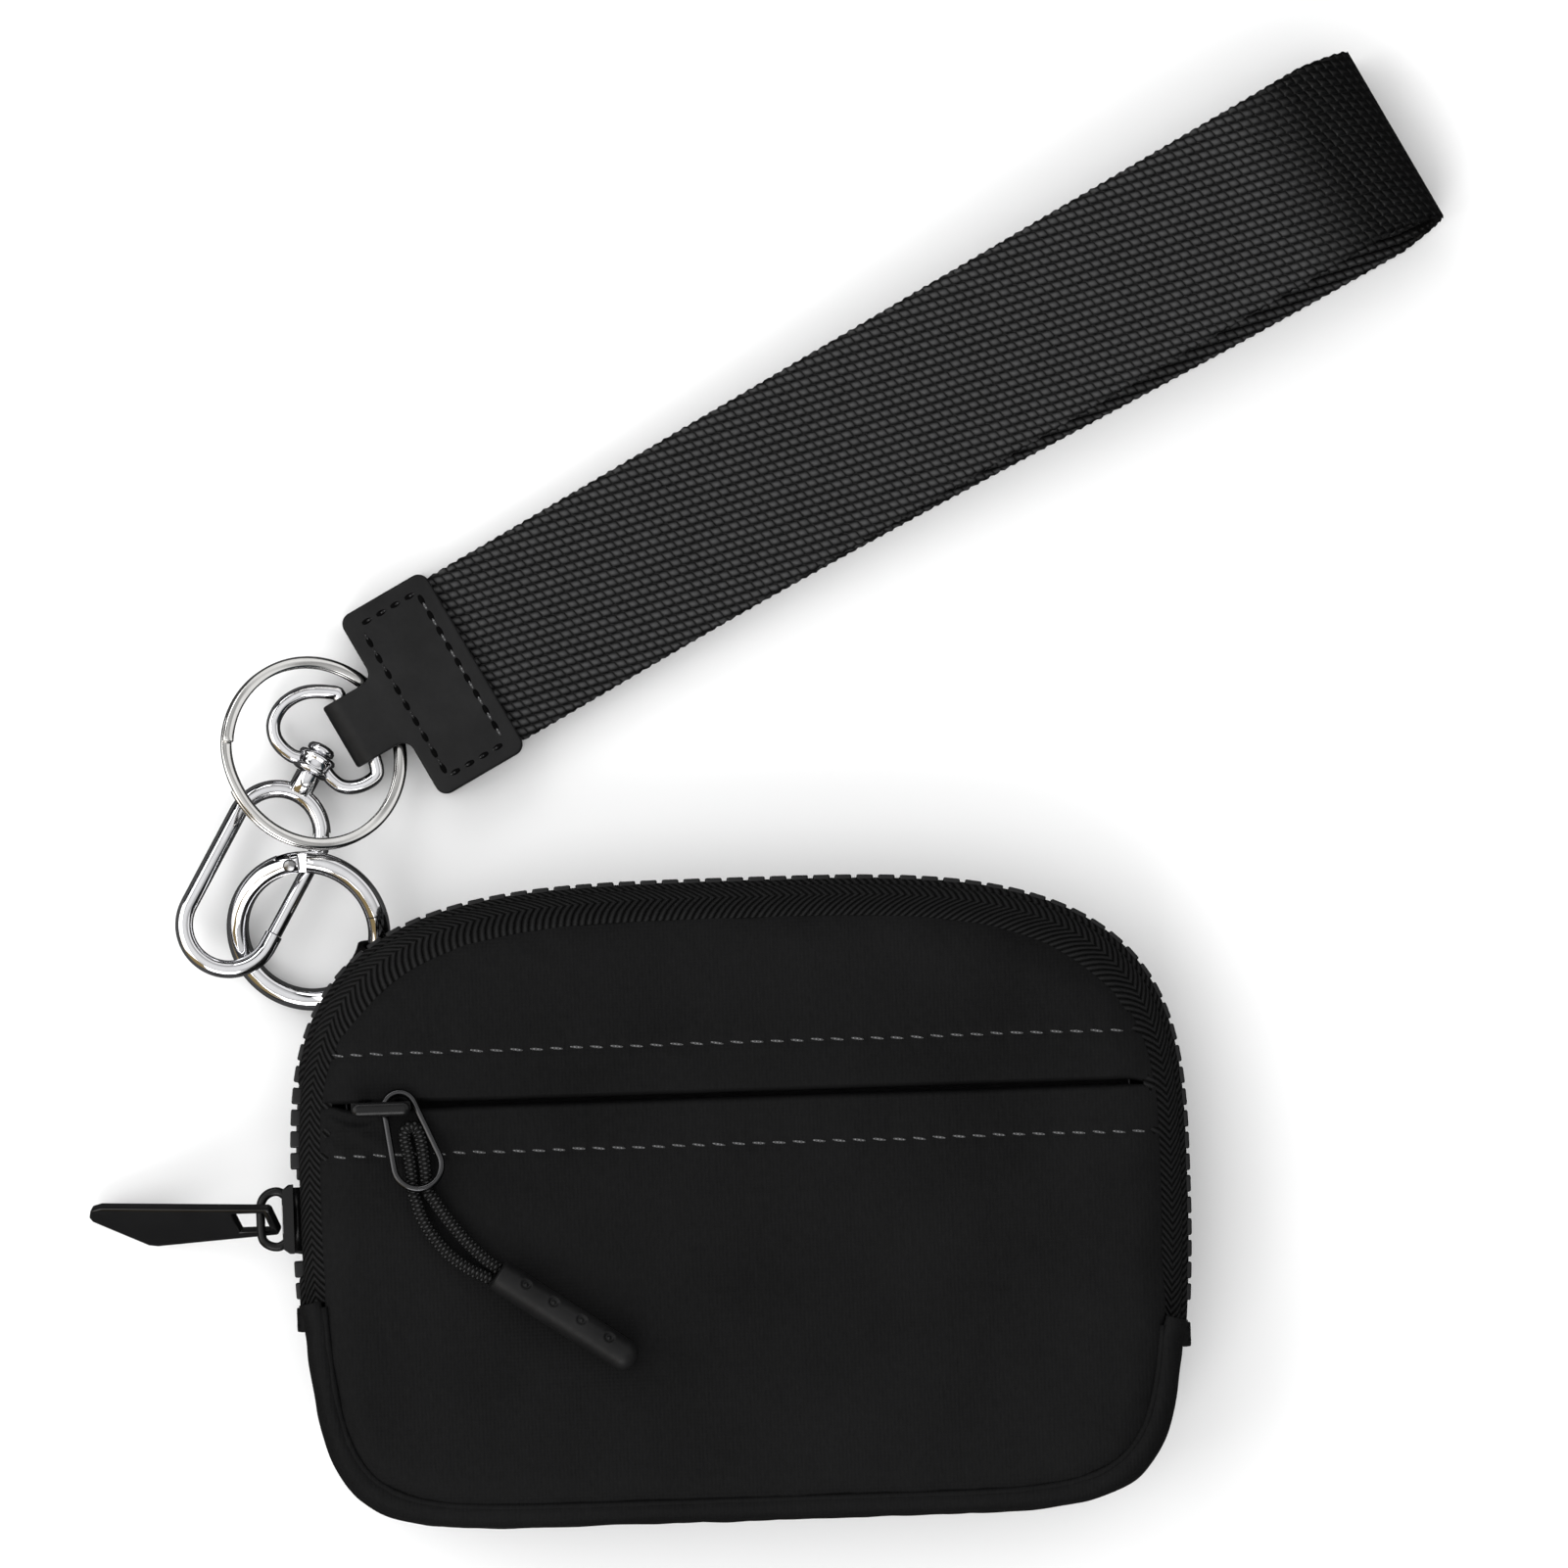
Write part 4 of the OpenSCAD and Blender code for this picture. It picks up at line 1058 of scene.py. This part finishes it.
eye_pts = arm((1.5, -1.05), (2.3, -2.1), (3.6, -3.1), (5.3, -3.3), (7.1, -2.75), (8.4, -1.6)) \
    + [Vector((bar_u + a, b, 0)) for a, b in
       ((-0.1, -5.2), (0, -4.4), (0, -3), (0, 0), (0, 3), (0, 4.3), (-0.1, 5.0))] \
    + arm((0.2, 9.75), (-2.0, 9.3), (-4.0, 8.0), (-5.2, 6.0), (-5.2, 4.0), (-4.3, 2.4), (-2.9, 1.2),
          (-1.6, 0.8))
eye_m = shift_by(eye_c) @ turn("Z", STRAP_DIR)
eye = sweep("swivel_eye_wire", smooth_path(eye_pts, 150), M_CHROME, d=1.9, sides=20, matrix=eye_m)
hub_half = [(1.4, 1.22), (1.4, 2.2), (1.3, 2.45), (1.0, 2.6), (0.75, 2.6), (0.6, 2.42), (0.3, 2.36)]
hub_line = [(-x, r) for x, r in hub_half] + hub_half[::-1]
hub = turned("swivel_hub", [(x, 0, 0) for x, _ in hub_line], [r for _, r in hub_line], M_CHROME, sides=40,
             matrix=HOOK_M)
piece(join("swivel_eye_plated", [eye, hub]), "swivel", "chrome", "swivel_eye")


# ---- key ring: two turns of flat wire
def two_turns():
    """The wire's run: two turns, one above the other, with a step between them."""
    pts = []
    for i in range(261):
        swept = 690 * i / 260
        lift = Vector((0, 0, -0.41 + 0.82 * ease((swept - 322) / 46)))
        pts.append(polar(KEY_R, 175 + swept) + lift)
    return pts


flat = [(a * 0.75, b * 0.385) for a, b in
        ((1, -0.35), (1, 0.05), (0.9, 0.45), (0.6, 0.82), (0, 1.0), (-0.6, 0.9), (-0.93, 0.7), (-1, 0.35),
         (-1, -0.35), (-0.93, -0.8), (-0.75, -1), (0, -1.0), (0.75, -1), (0.93, -0.8))]
key = sweep("split_ring_turns", two_turns(), M_RING, section=flat, matrix=KEY_M)
bevel(key, 0.08, 2, 50)
piece(bake(key), "key_ring", "chrome", "split_ring")

# ---- leather tab
leather = from_cad("leather_tab", M_LEATHER, 0.38, 4, "leather_tab_cut", 38)
leather.data.materials.append(M_EDGE)
for poly in leather.data.polygons:
    c = STRAP_M.inverted() @ (poly.center / MM)
    neck = abs(c.y) < 4.3 and c.x < -6.7
    if abs(poly.normal.z) < 0.55 and not neck:
        poly.material_index = 1
piece(leather, "strap", "leather", "leather_tab")
SEAM_X, SEAM_Y = 4.45, 11.75
seam = [(-SEAM_X, SEAM_Y), (SEAM_X, SEAM_Y), (SEAM_X, -SEAM_Y), (-SEAM_X, -SEAM_Y), (-SEAM_X, SEAM_Y)]
for z, up, nm in ((STRAP_Z + 2.7, 1, "top"), (STRAP_Z - 2.7, -1, "under")):
    for k, (a, b) in enumerate(zip(seam, seam[1:])):
        dx, dy, long_side = b[0] - a[0], b[1] - a[1], k % 2 == 1
        path = [(a[0] + dx * i / 40, a[1] + dy * i / 40, z) for i in range(41)]
        same = dict(step=2.45 if long_side else 2.2, up=(0, 0, up), matrix=STRAP_M)
        # Painted shade: a dark strip under each stitch stands for the shade in the stitch holes and groove.
        stitches("tab_hole_shade_%s_%d" % (nm, k), path, M_HOLE_SHADE, "strap", "leather",
                 gap=1.0 if long_side else 0.85, width=0.72, height=0.07 if up > 0 else 0.04, **same)
        moved = [(p[0] + dx / 30 * 1.2, p[1] + dy / 30 * 1.2, z) for p in path]
        stitches("tab_stitch_%s_%d" % (nm, k), moved, M_THREAD if k == 1 else M_THREAD_D, "strap", "leather",
                 gap=1.3, width=0.34, height=0.14 if up > 0 else 0.05, sink=0.05, **same)


# ---- webbing loop
FAR_R, FAR_U, TAB_U = 6.2, 149.2, -4.6
LOW_Z = STRAP_T / 2 + 0.05


def web_centre():
    """The band's centre line as (along, height, share): out along the floor with share 0, round the far
    bend, and back on top with share 1, where the far bend is pressed flatter."""
    pts = []
    turn_u, n = FAR_U - FAR_R - STRAP_T / 2, 290
    for i in range(n + 1):
        u = TAB_U + (turn_u - TAB_U) * i / n
        pts.append((u, LOW_Z + (STRAP_Z - STRAP_T / 2 - LOW_Z) * (1 - ease((u - 6.6) / 11)), 0.0))
    for i in range(1, 40):
        a = radians(-90 + 180 * i / 40)
        pts.append((turn_u + FAR_R * cos(a), LOW_Z + FAR_R + FAR_R * sin(a), i / 40))
    for i in range(n + 1):
        u = turn_u - (turn_u - TAB_U) * i / n
        tab_z = STRAP_Z + STRAP_T / 2
        pts.append((u, tab_z + (LOW_Z + 2 * FAR_R - tab_z) * ease((u - 6.6) / (turn_u - 16.6)), 1.0))
    a0, a1, mid = turn_u - 7.5, FAR_U - STRAP_T / 2, LOW_Z + FAR_R
    for i, (u, z, f) in enumerate(pts):
        if f > 0.5 and u > a0 and z > mid:
            pts[i] = (u, mid + (z - mid) * (1 - 0.42 * ease((u - a0) / (a1 - a0))), f)
    return pts


def web_section(half):
    """The band's cross-section: two flat faces and two rounded edges, walked once round."""
    sec = []
    for s in (1, -1):
        sec += [(s * (2 * half * k / 32 - half), s * STRAP_T / 2) for k in range(33)]
        for k in range(1, 6):
            a = radians(90 * s - 30 * k)
            sec.append((s * (half - 0.35) + 0.35 * cos(a), STRAP_T / 2 * sin(a)))
    return sec


def web_rows(web, sec, half):
    """Rows of the band's surface, and the distance along the band at each row."""
    rows, ulen = [], [0.0]
    for i, (u, z, f) in enumerate(web):
        a, b = web[max(i - 1, 0)], web[min(i + 1, len(web) - 1)]
        ln = hypot(b[0] - a[0], b[1] - a[1])
        nu, nz = (a[1] - b[1]) / ln, (b[0] - a[0]) / ln
        if i:
            ulen.append(ulen[-1] + hypot(u - web[i - 1][0], z - web[i - 1][1]))
        skew = -3.0 * ease((u - 30) / 118) * (1 - f)
        row = []
        for v, h in sec:
            ridge = 0.13 * sin(ulen[-1] * 2 * pi / 1.45) * ease((abs(v) - half + 0.6) / 0.5)
            wave = 0.10 * fuzz(u, v, 21.0 + f, 17) * ease((u - 9) / 12)
            row.append((u - nu * h, v + (ridge if v > 0 else -ridge) + skew, z - nz * h + wave))
        rows.append(row)
    return rows, ulen


web_sec = web_section(STRAP_W / 2)
rows, ulen = web_rows(web_centre(), web_sec, STRAP_W / 2)
around = lengths([(x, y, 0) for x, y in web_sec], closed=True)
webbing = grid("webbing_strap", rows, M_WEB, lambda i, j: (ulen[min(i, len(ulen) - 1)] * MM, around[j] * MM),
               wrap=True, caps=True, matrix=STRAP_M)
piece(webbing, "strap", "webbing", "webbing_loop")

# ---- floor, light
floor_k = Mat("pale_floor", (0.93, 0.93, 0.93), 0.9, spec=0.0)
# Painted reflection: the floor is pale to the camera but dark in glossy rays, so the metal reflects a dark
# floor.
floor_lp = floor_k.t.nodes.new("ShaderNodeLightPath")
floor_k.color(floor_k.blend(floor_lp.outputs["Is Glossy Ray"], (0.93, 0.93, 0.93), (0.06, 0.06, 0.06)))
corners = [(x * 4000, y * 4000, 0) for x, y in ((-1, -1), (1, -1), (1, 1), (-1, 1))]
floor = make("floor", corners, [(0, 1, 2, 3)], floor_k.m, smooth=False)
floor.location.z = -0.02 * MM

world = bpy.data.worlds.new("studio")
scene.world = world
world.use_nodes = True
wt = world.node_tree


def world_node(kind):
    return wt.nodes.new("ShaderNode" + kind)


bg = wt.nodes["Background"]
tc = world_node("TexCoord")
sp = world_node("SeparateXYZ")
wt.links.new(tc.outputs["Generated"], sp.inputs[0])
rampn = world_node("ValToRGB")
els = rampn.color_ramp.elements
els[0].position, els[0].color = 0.0, (0.1, 0.1, 0.1, 1)
els[1].position, els[1].color = 1.0, (0.9, 0.9, 0.9, 1)
for pos, v in ((0.03, 0.2), (0.08, 0.01), (0.30, 0.01), (0.36, 0.9), (0.62, 1.0), (0.70, 0.35), (0.9, 0.75),
               (0.97, 0.95)):
    e = els.new(pos)
    e.color = (v, v, v, 1)
wt.links.new(sp.outputs[2], rampn.inputs[0])
lp = world_node("LightPath")
mx = world_node("Mix")
mx.data_type = "RGBA"
mx.inputs[6].default_value = (0.9, 0.9, 0.9, 1)
wt.links.new(lp.outputs["Is Glossy Ray"], mx.inputs[0])


def toward(x, y, z, lo, hi, color, before):
    """Tint the reflected surroundings in one direction."""
    dot = world_node("VectorMath")
    dot.operation = "DOT_PRODUCT"
    dot.inputs[1].default_value = Vector((x, y, z)).normalized()
    wt.links.new(tc.outputs["Generated"], dot.inputs[0])
    span = world_node("MapRange")
    set_inputs(span, From_Min=lo, From_Max=hi)
    wt.links.new(dot.outputs["Value"], span.inputs["Value"])
    out = world_node("Mix")
    out.data_type = "RGBA"
    out.inputs[7].default_value = (*color, 1)
    wt.links.new(span.outputs[0], out.inputs[0])
    wt.links.new(before, out.inputs[6])
    return out.outputs[2]


seen = toward(-0.55, 0.75, 0.55, 0.82, 0.9, (0.012, 0.012, 0.014), rampn.outputs[0])
seen = toward(-0.8, -0.5, 0.55, 0.86, 0.93, (0.30, 0.22, 0.10), seen)
seen = toward(0.75, -0.55, 0.35, 0.86, 0.93, (0.02, 0.03, 0.035), seen)
wt.links.new(seen, mx.inputs[7])
wt.links.new(mx.outputs[2], bg.inputs["Color"])
bg.inputs["Strength"].default_value = 1.0


def area(name, loc, target, size, power):
    li = bpy.data.lights.new(name, "AREA")
    li.shape, li.size, li.size_y, li.energy = "RECTANGLE", size[0], size[1], power
    ob = link(name, li)
    ob.location = loc
    ob.rotation_euler = (Vector(target) - Vector(loc)).to_track_quat("-Z", "Y").to_euler()


area("key_light", (-0.95, 0.1, 0.75), (0, 0.05, 0), (1.3, 1.1), 7.5)
area("fill_light", (-0.2, -0.9, 0.8), (0, 0.05, 0), (0.8, 0.6), 5.5)
area("back_light", (-0.5, 1.1, 0.8), (0, 0.05, 0), (0.9, 0.4), 3.5)
scene.view_settings.view_transform = "Standard"
